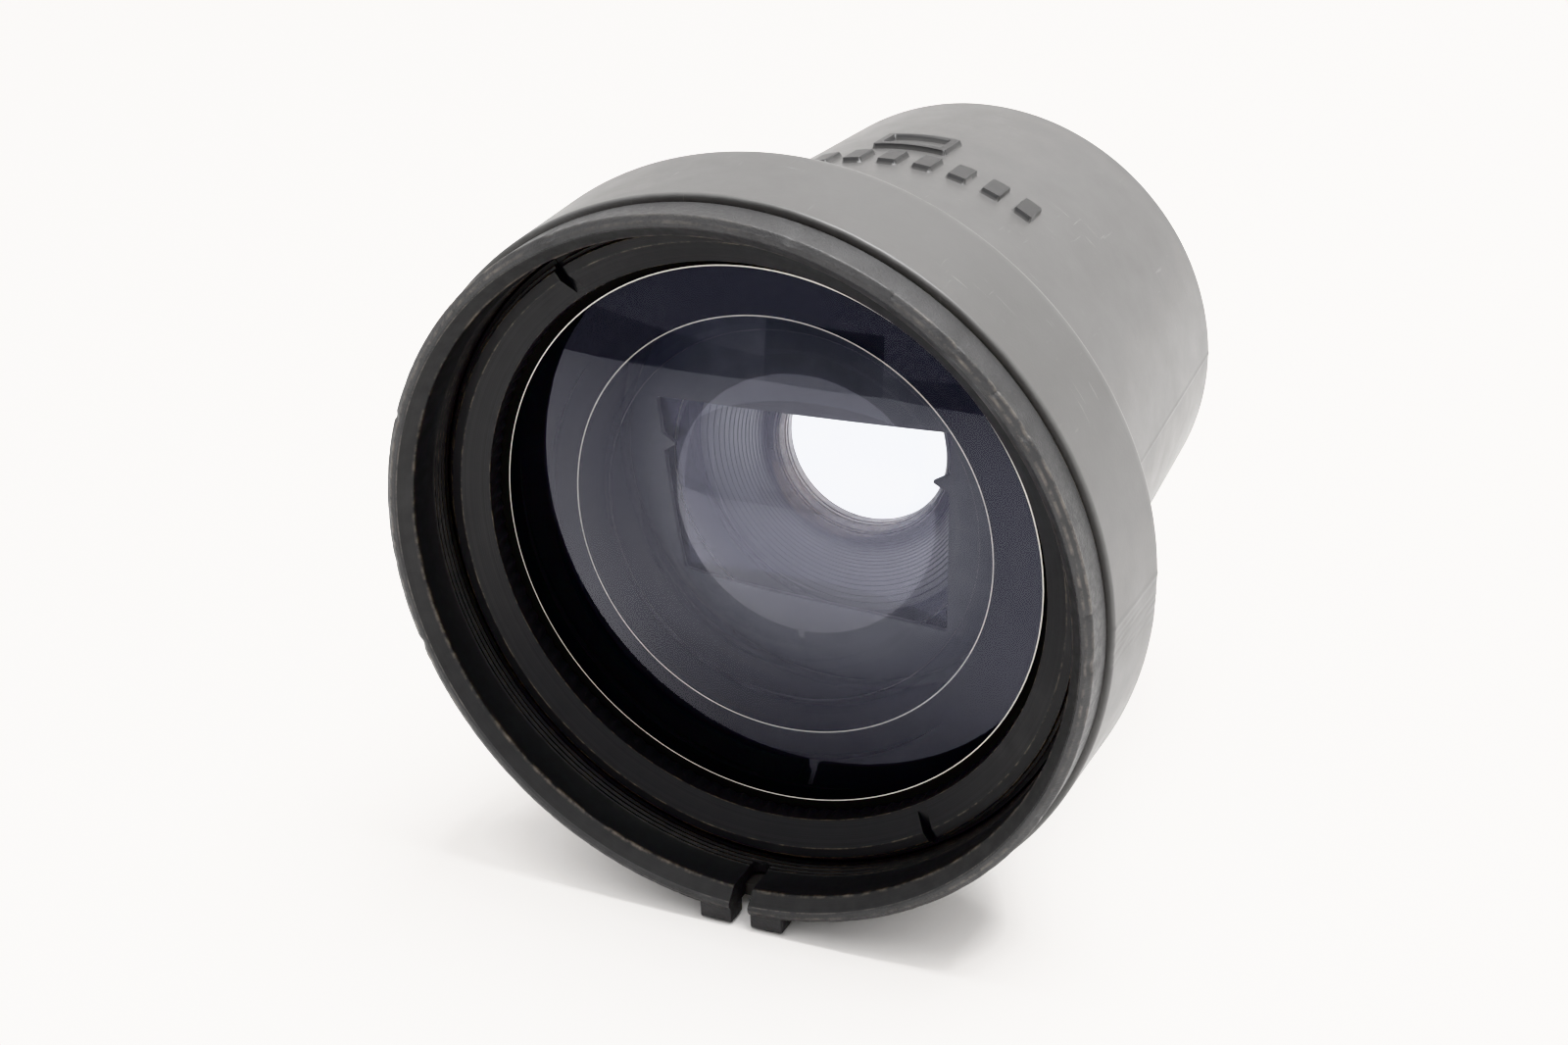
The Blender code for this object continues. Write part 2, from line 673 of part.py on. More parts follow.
def make_bezel():
    """Screwed rear bezel, with two spanner notches, and the rubber ring stretched over its collar."""
    bezel_radius = skin_inside[3][1] - 2 * FIT_GAP
    collar = EYE_APERTURE + EYE_RIM_WIDTH
    outline = [
        (BEZEL_FRONT, EYE_CELL_RADIUS),
        (BEZEL_FLANGE_FRONT, EYE_CELL_RADIUS),
        (BEZEL_FLANGE_FRONT, bezel_radius),
        (BEZEL_REAR, bezel_radius),
        (BEZEL_REAR, collar),
        (COLLAR_REAR, collar),
        (COLLAR_REAR, EYE_APERTURE),
        (BEZEL_FRONT, EYE_APERTURE),
    ]
    bezel = turned("rear_bezel", outline, LARGE_STEPS, anodised, parent=optical_axis)
    eyecup_inside = collar + FIT_GAP
    eyecup_outside = eyecup_inside + EYECUP_WALL
    notch_depth = BEZEL_FLANGE / 2
    for side in (-1, 1):
        notch = box(
            f"bezel_notch_{side + 2}",
            (2 * (bezel_radius - eyecup_outside), BEZEL_NOTCH_WIDTH, 2 * notch_depth),
            (side * bezel_radius, 0, -BEZEL_REAR),
            parent=optical_axis,
        )
        cut(bezel, notch)
    front = BEZEL_REAR + FIT_GAP
    eyecup = [
        (front, eyecup_outside),
        (EYECUP_REAR - EYECUP_ROUND, eyecup_outside),
        (EYECUP_REAR, eyecup_outside - EYECUP_ROUND),
        (EYECUP_REAR, EYE_APERTURE + EYECUP_ROUND),
        (EYECUP_REAR - EYECUP_LIP, EYE_APERTURE),
        (EYECUP_REAR - EYECUP_LIP, eyecup_inside),
        (front, eyecup_inside),
    ]
    turned("eyecup_ring", eyecup, LARGE_STEPS, rubber, parent=optical_axis)


def make_foot():
    """Shoe foot: sole plate and the stem that carries it."""
    plate = box(
        "foot_plate",
        (FOOT_WIDTH, FOOT_LENGTH, FOOT_THICKNESS),
        (0, 0, FOOT_THICKNESS / 2),
        satin_metal,
        foot_axis,
    )
    round_upright_edges(plate, FOOT_CORNER)
    socket_radius = STEM_FOOT_RADIUS + FIT_GAP
    socket_height = 2 * (STEM_FOOT_DEPTH + FIT_GAP)
    socket = cylinder("stem_socket", socket_radius, socket_height, (0, 0, FOOT_THICKNESS), parent=foot_axis)
    cut(plate, socket)
    core_radius = skin_radius(FOOT_STATION) - SKIN_TO_CORE
    top = AXIS_HEIGHT - core_radius - FIT_GAP
    outline = [
        (-top, 0),
        (-top, STEM_TOP_RADIUS),
        (-STEM_SHOULDER, STEM_TOP_RADIUS),
        (-STEM_SHOULDER, STEM_RADIUS),
        (-FOOT_THICKNESS - FIT_GAP, STEM_RADIUS),
        (-FOOT_THICKNESS - FIT_GAP, STEM_FOOT_RADIUS),
        (-FOOT_THICKNESS + STEM_FOOT_DEPTH, STEM_FOOT_RADIUS),
        (-FOOT_THICKNESS + STEM_FOOT_DEPTH, 0),
    ]
    stem = turned("foot_stem", outline, SMALL_STEPS, stainless, parent=foot_axis)
    for side in (-1, 1):
        flat = box(
            f"stem_flat_{side + 2}",
            (STEM_RADIUS, 4 * STEM_RADIUS, 2 * STEM_SHOULDER),
            (side * (STEM_FLAT + STEM_RADIUS / 2), 0, STEM_SHOULDER),
            parent=foot_axis,
        )
        cut(stem, flat)


def make_foot_lock():
    """Pressure plate, keyed to the stem's flats, and the ribbed ring that drives it down."""
    plate_axis = empty("pressure_plate_axis", (0, 0, PLATE_BOTTOM))
    plate = box(
        "pressure_plate",
        (FOOT_WIDTH, FOOT_LENGTH, PLATE_THICKNESS),
        (0, 0, PLATE_THICKNESS / 2),
        satin_metal,
        plate_axis,
    )
    round_upright_edges(plate, FOOT_CORNER)
    bore_radius = STEM_RADIUS + FIT_GAP
    keyhole = cylinder("plate_keyhole", bore_radius, 3 * PLATE_THICKNESS, (0, 0, 0), parent=plate_axis)
    key_width = 2 * (STEM_FLAT + FIT_GAP)
    key = box("plate_key", (key_width, 4 * STEM_RADIUS, 4 * PLATE_THICKNESS), (0, 0, 0), parent=plate_axis)
    boolean(keyhole, key, "INTERSECT")
    cut(plate, keyhole)

    ring_axis = empty("lock_ring_axis", (0, 0, LOCK_RING_BOTTOM))
    ring = cylinder(
        "lock_ring",
        LOCK_RING_RADIUS,
        LOCK_RING_HEIGHT,
        (0, 0, LOCK_RING_HEIGHT / 2),
        2 * LOCK_RING_RIBS,
        anodised,
        ring_axis,
    )
    valley = 1 - LOCK_RIB_DEPTH / LOCK_RING_RADIUS
    for vertex in ring.data.vertices:
        slice_number = round(math.atan2(vertex.co.y, vertex.co.x) / (math.pi / LOCK_RING_RIBS))
        if slice_number % 2:
            vertex.co.xy *= valley
    bore = cylinder("lock_ring_bore", bore_radius, 3 * LOCK_RING_HEIGHT, (0, 0, 0), parent=ring_axis)
    cut(ring, bore)


def screw_places():
    across = PEDESTAL_WIDTH / 2 - SCREW_INSET
    along = PEDESTAL_LENGTH / 2 - SCREW_INSET
    return [(x, y) for x in (-across, across) for y in (-along, along)]


def make_pedestal(housing):
    """Block between the foot and the tube, saddled on the tube and held by four screws."""
    height = AXIS_HEIGHT - PEDESTAL_BOTTOM
    pedestal = box(
        "foot_pedestal",
        (PEDESTAL_WIDTH, PEDESTAL_LENGTH, height),
        (0, 0, PEDESTAL_BOTTOM + height / 2),
        painted,
        foot_axis,
    )
    round_upright_edges(pedestal, PEDESTAL_CORNER)
    saddle_front = FOOT_STATION - PEDESTAL_LENGTH
    saddle_rear = FOOT_STATION + PEDESTAL_LENGTH
    saddle = cylinder(
        "tube_saddle",
        skin_radius(saddle_rear) - RUBBER_WALL,
        saddle_rear - saddle_front,
        (0, 0, -FOOT_STATION),
        LARGE_STEPS,
        parent=optical_axis,
        top_radius=skin_radius(saddle_front) - RUBBER_WALL,
    )
    cut(pedestal, saddle)
    bore_radius = STEM_TOP_RADIUS + FIT_GAP
    bore = cylinder("pedestal_bore", bore_radius, 2 * height, (0, 0, height), parent=foot_axis)
    cut(pedestal, bore)

    core_radius = skin_radius(FOOT_STATION) - SKIN_TO_CORE
    core_bottom = AXIS_HEIGHT - math.sqrt(core_radius**2 - (PEDESTAL_WIDTH / 2 - SCREW_INSET) ** 2)
    tip = core_bottom + SCREW_GRIP
    head_bottom = PEDESTAL_BOTTOM + FIT_GAP
    neck = head_bottom + SCREW_HEAD_HEIGHT
    outline = [
        (-tip, 0),
        (-tip, SCREW_RADIUS),
        (-neck, SCREW_RADIUS),
        (-neck, SCREW_HEAD_RADIUS),
        (-head_bottom, SCREW_HEAD_RADIUS),
        (-head_bottom, 0),
    ]
    pattern = turned("screw_pattern", outline, 16, parent=foot_axis)
    slot_size = (2 * SCREW_HEAD_RADIUS - SCREW_SLOT, SCREW_SLOT, SCREW_HEAD_HEIGHT)
    for i, turn in enumerate((0, math.pi / 2)):
        slot = box(f"cross_slot_{i + 1}", slot_size, (0, 0, head_bottom), parent=foot_axis)
        slot.rotation_euler.z = turn
        cut(pattern, slot)
    screw_mesh = evaluated_mesh(pattern, "pedestal_screw")
    shank_hole, shank_length = SCREW_RADIUS + FIT_GAP, 2 * (tip + FIT_GAP)
    head_hole, head_length = SCREW_HEAD_RADIUS + FIT_GAP, 2 * (neck + FIT_GAP)
    for i, (x, y) in enumerate(screw_places()):
        add(f"pedestal_screw_{i + 1}", screw_mesh, (x, y, 0), stainless, foot_axis)
        shank = cylinder(f"shank_hole_{i + 1}", shank_hole, shank_length, (x, y, 0), 16, parent=foot_axis)
        head = cylinder(f"head_hole_{i + 1}", head_hole, head_length, (x, y, 0), 16, parent=foot_axis)
        cut(pedestal, shank)
        cut(pedestal, head)
        cut(housing, shank)


main_housing = make_main_housing()
make_rubber_armour()
make_front_group()
make_inner_group()
make_eyepiece()
make_foot()
make_foot_lock()
make_pedestal(main_housing)
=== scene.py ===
import math

import bmesh
import bpy
from mathutils import Matrix, Vector, noise


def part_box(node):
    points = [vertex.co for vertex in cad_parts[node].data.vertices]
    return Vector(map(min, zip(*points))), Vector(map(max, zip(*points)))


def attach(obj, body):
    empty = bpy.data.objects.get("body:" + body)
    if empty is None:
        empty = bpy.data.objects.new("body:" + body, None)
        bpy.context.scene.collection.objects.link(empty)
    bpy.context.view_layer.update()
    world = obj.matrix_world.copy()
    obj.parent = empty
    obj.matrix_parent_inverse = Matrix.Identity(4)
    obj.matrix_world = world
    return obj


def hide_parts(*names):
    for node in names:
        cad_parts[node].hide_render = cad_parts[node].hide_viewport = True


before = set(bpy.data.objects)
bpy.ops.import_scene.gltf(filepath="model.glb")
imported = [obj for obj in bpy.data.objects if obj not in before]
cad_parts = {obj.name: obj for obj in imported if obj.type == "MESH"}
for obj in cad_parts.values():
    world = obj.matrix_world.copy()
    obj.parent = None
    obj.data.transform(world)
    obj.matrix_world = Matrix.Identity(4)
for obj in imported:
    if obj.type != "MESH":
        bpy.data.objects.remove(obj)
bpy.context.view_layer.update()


# ---- Main housing ----
# Aluminium barrel that everything else is built into: a thin-walled hood in front, a cone, and a tube
# behind. It is cast, turned, and painted fine-textured black; handling has rubbed the front edge bare
# and nicked it. Two small lugs flank an alignment notch at the bottom of the rim.
mm = 0.001
front_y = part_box("main_housing")[0].y
axis_z = sum(corner.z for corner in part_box("front_retaining_ring")) / 2


def reach(node):
    """Front station, rear station and outer radius of a turned node, in millimetres from the front rim."""
    low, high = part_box(node)
    return (low.y - front_y) / mm, (high.y - front_y) / mm, high.x / mm


def soften(corners):
    """Points (station, radius, wear) of an outline whose corners (station, radius, round) become arcs."""
    points = []
    for i, (station, radius, *size) in enumerate(corners):
        here = Vector((station, radius))
        if not size:
            points.append((station, radius, 0.0))
            continue
        before, after = Vector(corners[i - 1][:2]), Vector(corners[(i + 1) % len(corners)][:2])
        back, onward = (before - here).normalized(), (after - here).normalized()
        half = back.angle(onward) / 2
        tangent = size[0] / math.tan(half)
        centre = here + (back + onward).normalized() * (size[0] / math.sin(half))
        start, end = here + back * tangent - centre, here + onward * tangent - centre
        turn = start.angle_signed(end)
        guard = tangent + 0.6 * size[0]
        if (before - here).length > guard + 0.02:
            points.append((*(here + back * guard), 0.0))
        for step in range(5):
            points.append((*(centre + Matrix.Rotation(-turn * step / 4, 2) @ start), 1.0))
        if (after - here).length > guard + 0.02:
            points.append((*(here + onward * guard), 0.0))
    return points


def skin(low, high):
    """Faces between two rings of points, either of which may be a single point."""
    steps, faces = max(len(low), len(high)), []
    for i in range(steps):
        j = (i + 1) % steps
        corners = (low[i % len(low)], low[j % len(low)], high[j % len(high)], high[i % len(high)])
        faces.append(tuple(dict.fromkeys(corners)))
    return faces


def mesh_of(name, places, faces, wear):
    """A mesh from points in metres and faces, which keeps how worn each point is."""
    mesh = bpy.data.meshes.new(name)
    mesh.from_pydata(places, [], faces)
    mesh.attributes.new("wear", "FLOAT", "POINT").data.foreach_set("value", wear)
    return mesh


def turned(name, outline, steps=192, shape=None, turns=None, paints=None):
    """Mesh of an outline turned round the optical axis.

    The outline runs rearwards on the outer side. Angles are in degrees from the bottom towards +X.
    shape moves a point; paints lists the material number of each stretch of the outline.
    """
    turns = turns or [360 * i / steps for i in range(steps)]
    rows, places, wear = [], [], []
    for station, radius, *worn in outline:
        row = []
        for turn in turns if radius > 0 else turns[:1]:
            s, r = shape(station, radius, turn) if shape else (station, radius)
            angle = math.radians(turn)
            row.append(len(places))
            x, z = r * math.sin(angle) * mm, axis_z - r * math.cos(angle) * mm
            places.append((x, front_y + s * mm, z))
            wear.append(worn[0] if worn else 0.0)
        rows.append(row)
    faces, kinds = [], []
    pairs = list(zip(rows, rows[1:] + rows[:1]))
    if outline[0][1] == 0:
        pairs.pop()
    for k, (first, second) in enumerate(pairs):
        strip = [(corners[0], *corners[:0:-1]) for corners in skin(first, second)]
        faces += strip
        kinds += [paints[k] if paints else 0] * len(strip)
    mesh = mesh_of(name, places, faces, wear)
    mesh.polygons.foreach_set("material_index", kinds)
    return mesh


def place(name, mesh, finishes, sharp=32):
    """Put a mesh in the scene, smooth but for the edges sharper than an angle in degrees."""
    piece = bpy.data.objects.new(name, mesh)
    bpy.context.scene.collection.objects.link(piece)
    for finish in finishes:
        mesh.materials.append(finish)
    mesh.shade_smooth()
    mesh.set_sharp_from_angle(angle=math.radians(sharp))
    return piece


def as_tool(name, shape, middle):
    """An object made of a finished shape, moved to its middle in millimetres."""
    bmesh.ops.translate(shape, vec=Vector(middle) * mm, verts=shape.verts)
    mesh = bpy.data.meshes.new(name)
    shape.to_mesh(mesh)
    shape.free()
    return bpy.data.objects.new(name, mesh)


def tool(name, size, middle, turn=0.0, round_by=0.0, axis="Y"):
    """A block to cut or join with, rounded on all edges and turned by degrees about an axis."""
    shape = bmesh.new()
    bmesh.ops.create_cube(shape, size=1.0, matrix=Matrix.Diagonal((*(Vector(size) * mm), 1.0)))
    if round_by:
        bmesh.ops.bevel(
            shape, geom=shape.edges[:], offset=round_by * mm, segments=3, affect="EDGES", profile=0.5
        )
    turned_by = Matrix.Rotation(math.radians(turn), 4, axis)
    bmesh.ops.transform(shape, matrix=turned_by, verts=shape.verts)
    return as_tool(name, shape, middle)


def round_points(radius, height, steps):
    """Points in metres of a level circle about the foot's axis, from sizes in millimetres."""
    angles = [2 * math.pi * i / steps for i in range(steps)]
    return [(radius * mm * math.cos(a), radius * mm * math.sin(a), height * mm) for a in angles]


def peg(name, outline, middle, steps=48, axis="Z"):
    """A round tool from (height, radius) points, standing along an axis."""
    shape = bmesh.new()
    rings = []
    for height, radius in outline:
        points = round_points(radius, height, steps if radius else 1)
        rings.append([shape.verts.new(point) for point in points])
    for low, high in zip(rings, rings[1:]):
        for corners in skin(low, high):
            shape.faces.new(corners)
    for cap in (rings[0][::-1], rings[-1]):
        if len(cap) > 1:
            shape.faces.new(cap)
    if axis == "Y":
        bmesh.ops.transform(shape, matrix=Matrix.Rotation(math.pi / 2, 4, "X"), verts=shape.verts)
    return as_tool(name, shape, middle)


def mesh_only(helper):
    """The mesh of a tool, whose object is thrown away."""
    mesh = helper.data
    bpy.data.objects.remove(helper)
    return mesh


def carve(mesh, tools, operation="DIFFERENCE"):
    """The mesh after each tool is cut from it or joined to it."""
    blank = bpy.data.objects.new("blank", mesh)
    helpers = [blank, *tools]
    for helper in helpers:
        bpy.context.scene.collection.objects.link(helper)
    for helper in tools:
        step = blank.modifiers.new(helper.name, "BOOLEAN")
        step.operation, step.object, step.solver = operation, helper, "EXACT"
    graph = bpy.context.evaluated_depsgraph_get()
    made = bpy.data.meshes.new_from_object(
        blank.evaluated_get(graph), preserve_all_data_layers=True, depsgraph=graph
    )
    made.name = mesh.name
    for helper in helpers:
        bpy.data.objects.remove(helper)
    return made


def node(tree, kind, inputs=None, **settings):
    """Add a shader node; an input given as a socket is linked, and any other is set."""
    made = tree.nodes.new("ShaderNode" + kind)
    for key, value in settings.items():
        setattr(made, key, value)
    for key, value in (inputs or {}).items():
        if isinstance(value, bpy.types.NodeSocket):
            tree.links.new(value, made.inputs[key])
        else:
            made.inputs[key].default_value = value
    return made


def finish(name, **plain):
    """A new material, its node tree and its shader, with plain values set on the shader."""
    made = bpy.data.materials.new(name)
    made.use_nodes = True
    shader = made.node_tree.nodes["Principled BSDF"]
    for key, value in plain.items():
        shader.inputs[key.replace("_", " ")].default_value = value
    return made, made.node_tree, shader


def spread(tree, value, low, high, to_low=0.0, to_high=1.0):
    """Map a value from one range to another, held at both ends."""
    return node(
        tree,
        "MapRange",
        {"Value": value, "From Min": low, "From Max": high, "To Min": to_low, "To Max": to_high},
    ).outputs["Result"]


def mixed(tree, share, first, second):
    """One colour turning into another."""
    made = node(tree, "Mix", data_type="RGBA")
    for number, value in ((0, share), (6, first), (7, second)):
        socket = made.inputs[number]
        if isinstance(value, bpy.types.NodeSocket):
            tree.links.new(value, socket)
        elif isinstance(value, tuple):
            socket.default_value = (*value, 1.0)
        else:
            socket.default_value = value
    return made.outputs[2]


def maths(tree, operation, *values):
    """One step of arithmetic on sockets or numbers."""
    return node(tree, "Math", dict(enumerate(values)), operation=operation).outputs[0]


def grain(tree, where, scale, detail=2.0, rough=0.55):
    """Fractal noise from 0 to 1, with scale in waves a metre."""
    inputs = {"Vector": where, "Scale": scale, "Detail": detail, "Roughness": rough}
    return node(tree, "TexNoise", inputs).outputs[0]


def where_on(tree):
    """The place on the object in metres."""
    return node(tree, "TexCoord").outputs["Object"]


def edge_wear_and_mark_shade(tree):
    """How exposed a place is: 1 on a rounded edge and 0 on a flat; -1 on a raised mark, where it gives painted
    shade.
    """
    return node(tree, "Attribute", attribute_name="wear").outputs["Fac"]


def tones(colour, low, high):
    """A darker and a lighter version of a colour."""
    return tuple(c * low for c in colour), tuple(min(1.0, c * high) for c in colour)


def along_and_out(tree):
    """Distance along the optical axis and distance out from it, in metres."""
    parts = node(tree, "SeparateXYZ", {0: where_on(tree)})
    up = maths(tree, "SUBTRACT", parts.outputs["Z"], axis_z)
    flat = node(tree, "CombineXYZ", {"X": parts.outputs["X"], "Y": 0.0, "Z": up})
    out = node(tree, "VectorMath", {0: flat.outputs[0]}, operation="LENGTH").outputs["Value"]
    return parts.outputs["Y"], out


def turning_marks(tree, pitch=0.07):
    """Fine rings left by the lathe tool, as a height from 0 to 1."""
    along, out = along_and_out(tree)
    flat = node(tree, "CombineXYZ", {"X": along, "Y": out, "Z": 0.0}).outputs[0]
    return node(tree, "TexNoise", {"Vector": flat, "Scale": 1 / (pitch * mm)}).outputs[0]


def bumps(tree, shader, *layers):
    """Stack height layers (height, depth in mm) into the shader's normal."""
    normal = None
    for height, depth in layers:
        inputs = {"Height": height, "Distance": depth * mm, "Strength": 1.0}
        if normal:
            inputs["Normal"] = normal
        normal = node(tree, "Bump", inputs).outputs[0]
    tree.links.new(normal, shader.inputs["Normal"])


def wear_share(tree, low, high, scale=900):
    """How bare an edge is: the edge's own wear, broken up by patches."""
    patches = grain(tree, where_on(tree), scale, 5.0, 0.7)
    return maths(tree, "MULTIPLY", edge_wear_and_mark_shade(tree), spread(tree, patches, low, high))


def paint_finish(name, base, bare, depth):
    """Fine-textured satin paint, rubbed through to the metal in patches along its edges."""
    made, tree, shader = finish(name)
    spot = where_on(tree)
    bare_share = wear_share(tree, 0.42, 0.62)
    spells = spread(tree, grain(tree, spot, 45, 2.0), 0.42, 0.6, 0.12, 1.0)
    bare_share = maths(tree, "MULTIPLY", bare_share, spells)
    blotches = spread(tree, grain(tree, spot, 350, 4.0), 0.3, 0.7)
    colour = mixed(tree, blotches, *tones(base, 0.8, 1.25))
    colour = mixed(tree, bare_share, colour, bare)
    tree.links.new(colour, shader.inputs["Base Color"])
    gloss = spread(tree, grain(tree, spot, 1400, 3.0), 0.3, 0.7, 0.40, 0.58)
    tree.links.new(gloss, shader.inputs["Roughness"])
    tree.links.new(maths(tree, "MULTIPLY", bare_share, 0.75), shader.inputs["Metallic"])
    speckle = spread(tree, grain(tree, spot, 5200, 2.0), 0.35, 0.7)
    bumps(tree, shader, (speckle, depth), (grain(tree, spot, 1500, 2.0), depth * 0.6))
    return made


def lathe_finish(name, base, roughness, depth=0.004, bare=(0.10, 0.085, 0.07)):
    """Black-anodised turned aluminium with tool rings and rubbed edges."""
    made, tree, shader = finish(name)
    spot = where_on(tree)
    rings = turning_marks(tree)
    bare_share = wear_share(tree, 0.45, 0.7)
    colour = mixed(tree, spread(tree, rings, 0.3, 0.7), *tones(base, 0.82, 1.2))
    tree.links.new(mixed(tree, bare_share, colour, bare), shader.inputs["Base Color"])
    dull = spread(tree, grain(tree, spot, 600, 4.0), 0.3, 0.7, roughness * 0.85, roughness * 1.15)
    tree.links.new(dull, shader.inputs["Roughness"])
    bumps(tree, shader, (rings, depth), (grain(tree, spot, 4200, 2.0), depth * 0.8))
    return made


rim_paint = paint_finish("rim_paint", (0.027, 0.027, 0.028), (0.13, 0.12, 0.11), 0.02)
hood_black = lathe_finish("hood_black", (0.0125, 0.0125, 0.013), 0.55)

_, housing_end, band_radius = reach("main_housing")
hood_bore, cell_bore, ledge_bore, rear_bore = 31.2, 22.3, 19.5, 20.6
band_end, hood_end, cone_end = 3.5, 14.7, 20.35
hood_front_outer, hood_rear_outer, cone_outer, tail_outer = 32.3, 32.48, 25.23, 22.57
seat_front, ledge_front, ledge_rear = 13.11, 27.37, 28.57
mouth_outer, mouth_inner, inside_paint_limit = 32.45, 32.32, 32.31
thread_rear, thread_pitch, thread_turns = 6.9, 0.55, 5
thread = []
for i in range(thread_turns):
    foot = thread_rear - i * thread_pitch
    thread += [(foot, hood_bore - 0.12, 0.06), (foot - 0.5 * thread_pitch, hood_bore + 0.02)]
housing_corners = [
    (0.0, band_radius - 0.55, 0.22),
    (0.35, band_radius, 0.2),
    (band_end, band_radius, 0.12),
    (band_end, hood_front_outer),
    (hood_end, hood_rear_outer),
    (cone_end, cone_outer),
    (housing_end, tail_outer),
    (housing_end, rear_bore),
    (ledge_rear, rear_bore),
    (ledge_rear, ledge_bore),
    (ledge_front, ledge_bore),
    (ledge_front, cell_bore),
    (seat_front, cell_bore),
    (seat_front, hood_bore),
    (thread_rear + 0.3, hood_bore),
    *thread,
    (1.3, hood_bore, 0.3),
    (0.12, mouth_inner, 0.12),
    (0.0, mouth_outer),
]
housing_outline = soften(housing_corners)
# Each nick's angle, width and depth.
nicks = [(124, 1.1, 0.35), (131, 0.5, 0.28), (139, 0.8, 0.2), (166, 0.9, 0.22), (205, 0.7, 0.25)]
nicks += [(88, 1.0, 0.3), (96, 0.5, 0.22), (60, 0.7, 0.18), (250, 0.6, 0.2), (290, 0.9, 0.2), (150, 0.4, 0.25)]


def nicked(station, radius, turn):
    """Dents and a slight unevenness along the outer front edge."""
    if station > 1.2 or radius < 32.4:
        return station, radius
    near_edge = max(0.0, 1 - math.hypot(station - 0.1, radius - band_radius) / 0.9)
    angle = math.radians(turn)
    spot = Vector((math.cos(angle), math.sin(angle), 0.0)) * 14
    dent = 0.05 * max(0.0, noise.noise(spot)) + 0.05 * max(0.0, noise.noise(spot * 4))
    for at, width, depth in nicks:
        arc = math.radians((turn - at + 180) % 360 - 180) * band_radius
        dent += depth * math.exp(-((arc / (width / 2)) ** 2))
    return station + dent * near_edge * 0.7, radius - dent * near_edge


housing_mesh = turned(
    "housing_shell",
    housing_outline,
    steps=600,
    shape=nicked,
    paints=[
        1 if max(a[1], b[1]) < inside_paint_limit and a[0] < cone_end else 0
        for a, b in zip(housing_outline, housing_outline[1:] + housing_outline[:1])
    ],
)
lug_root, lug_top, lug_width, lug_length = 32.8, band_radius + 1.4, 3.2, 2.4
notch_width, notch_length = 1.85, 5.7
lug_at = (notch_width + lug_width) / 2
lugs = [
    tool(
        f"lug_{side}",
        (lug_width, lug_length, lug_top - lug_root),
        (side * lug_at, front_y / mm + 0.35 + lug_length / 2, axis_z / mm - (lug_top + lug_root) / 2),
        round_by=0.22,
    )
    for side in (-1, 1)
]
notch_straight = notch_length - notch_width / 2
notch_middle = axis_z / mm - (hood_bore + lug_top) / 2
notch_cutters = [
    tool("notch", (notch_width, 2 * notch_straight, 6), (0, front_y / mm, notch_middle)),
    peg(
        "notch_end",
        [(-3, notch_width / 2), (3, notch_width / 2)],
        (0, front_y / mm + notch_straight, notch_middle),
    ),
]
housing_mesh = carve(housing_mesh, lugs, "UNION")
housing_mesh = carve(housing_mesh, notch_cutters)
housing = place("housing_shell", housing_mesh, [rim_paint, hood_black])
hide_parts("main_housing")
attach(housing, "finder_body")


# ---- Rubber armour ----
# Moulded black rubber cover, stretched over the housing and lying a little proud of the bare front
# band. Mould parting lines run down both sides, with trimmed flash below them on the bell, and raised
# marks stand on top of the tube.
def scratches(tree, stretch, turn, scale, low):
    """Long scratches that all run one way, as a share from 0 to 1."""
    pulled = node(tree, "Mapping", {"Vector": where_on(tree), "Scale": stretch, "Rotation": turn})
    return spread(tree, grain(tree, pulled.outputs[0], scale, 2.0, 0.5), low, low + 0.05)


armour_rubber, tree, shader = finish("armour_rubber")
spot = where_on(tree)
cloudy = spread(tree, grain(tree, spot, 90, 5.0, 0.6), 0.3, 0.7)
rubber_colour = mixed(tree, cloudy, (0.070, 0.069, 0.068), (0.077, 0.076, 0.075))
long_way = scratches(tree, (1.0, 14.0, 1.0), (0.3, 0.5, 0.9), 260, 0.68)
cross_way = scratches(tree, (16.0, 1.0, 1.0), (0.2, -0.7, 0.4), 200, 0.69)
scuffs = maths(tree, "MAXIMUM", long_way, cross_way)
worn_patch = spread(tree, grain(tree, spot, 160, 4.0, 0.6), 0.5, 0.72)
scuffs = maths(tree, "MULTIPLY", scuffs, worn_patch)
rubbed = wear_share(tree, 0.4, 0.7, 250)
rubber_colour = mixed(tree, maths(tree, "MULTIPLY", scuffs, 0.5), rubber_colour, (0.17, 0.17, 0.17))
rubber_colour = mixed(tree, maths(tree, "MULTIPLY", rubbed, 0.22), rubber_colour, (0.12, 0.12, 0.118))
# Painted shade: the raised marks' rubber is darkened nearly to black, standing in for the shadow on their
# sides.
mark_shade = spread(tree, edge_wear_and_mark_shade(tree), -0.9, -0.1, 0.85, 0.0)
rubber_colour = mixed(tree, mark_shade, rubber_colour, (0.010, 0.010, 0.011))
tree.links.new(rubber_colour, shader.inputs["Base Color"])
rubber_dull = spread(tree, grain(tree, spot, 240, 4.0, 0.6), 0.3, 0.7, 0.42, 0.48)
tree.links.new(rubber_dull, shader.inputs["Roughness"])
skin_grain = (grain(tree, spot, 3800, 3.0), 0.006)
bumps(tree, shader, (grain(tree, spot, 110, 2.0), 0.02), skin_grain, (scuffs, -0.01))

rubber_start, rubber_end, bell_radius = reach("rubber_armour")
bell_front_radius = bell_radius - 0.2
bell_end, shoulder_end = 14.9, 20.9
tube_front_radius, tube_rear_radius, rubber_wall = 26.9, 24.2, 1.4
taper = (tube_front_radius - tube_rear_radius) / (rubber_end - shoulder_end)
mark_front, mark_rear, row_pitch = 37.4, 48.6, 0.165
mark_rows = [mark_front + row_pitch * i for i in range(round((mark_rear - mark_front) / row_pitch) + 1)]
bell_rows = [rubber_start + 0.8 + 0.45 * i for i in range(21)]


def tube_radius(station):
    return tube_front_radius - taper * (station - shoulder_end)


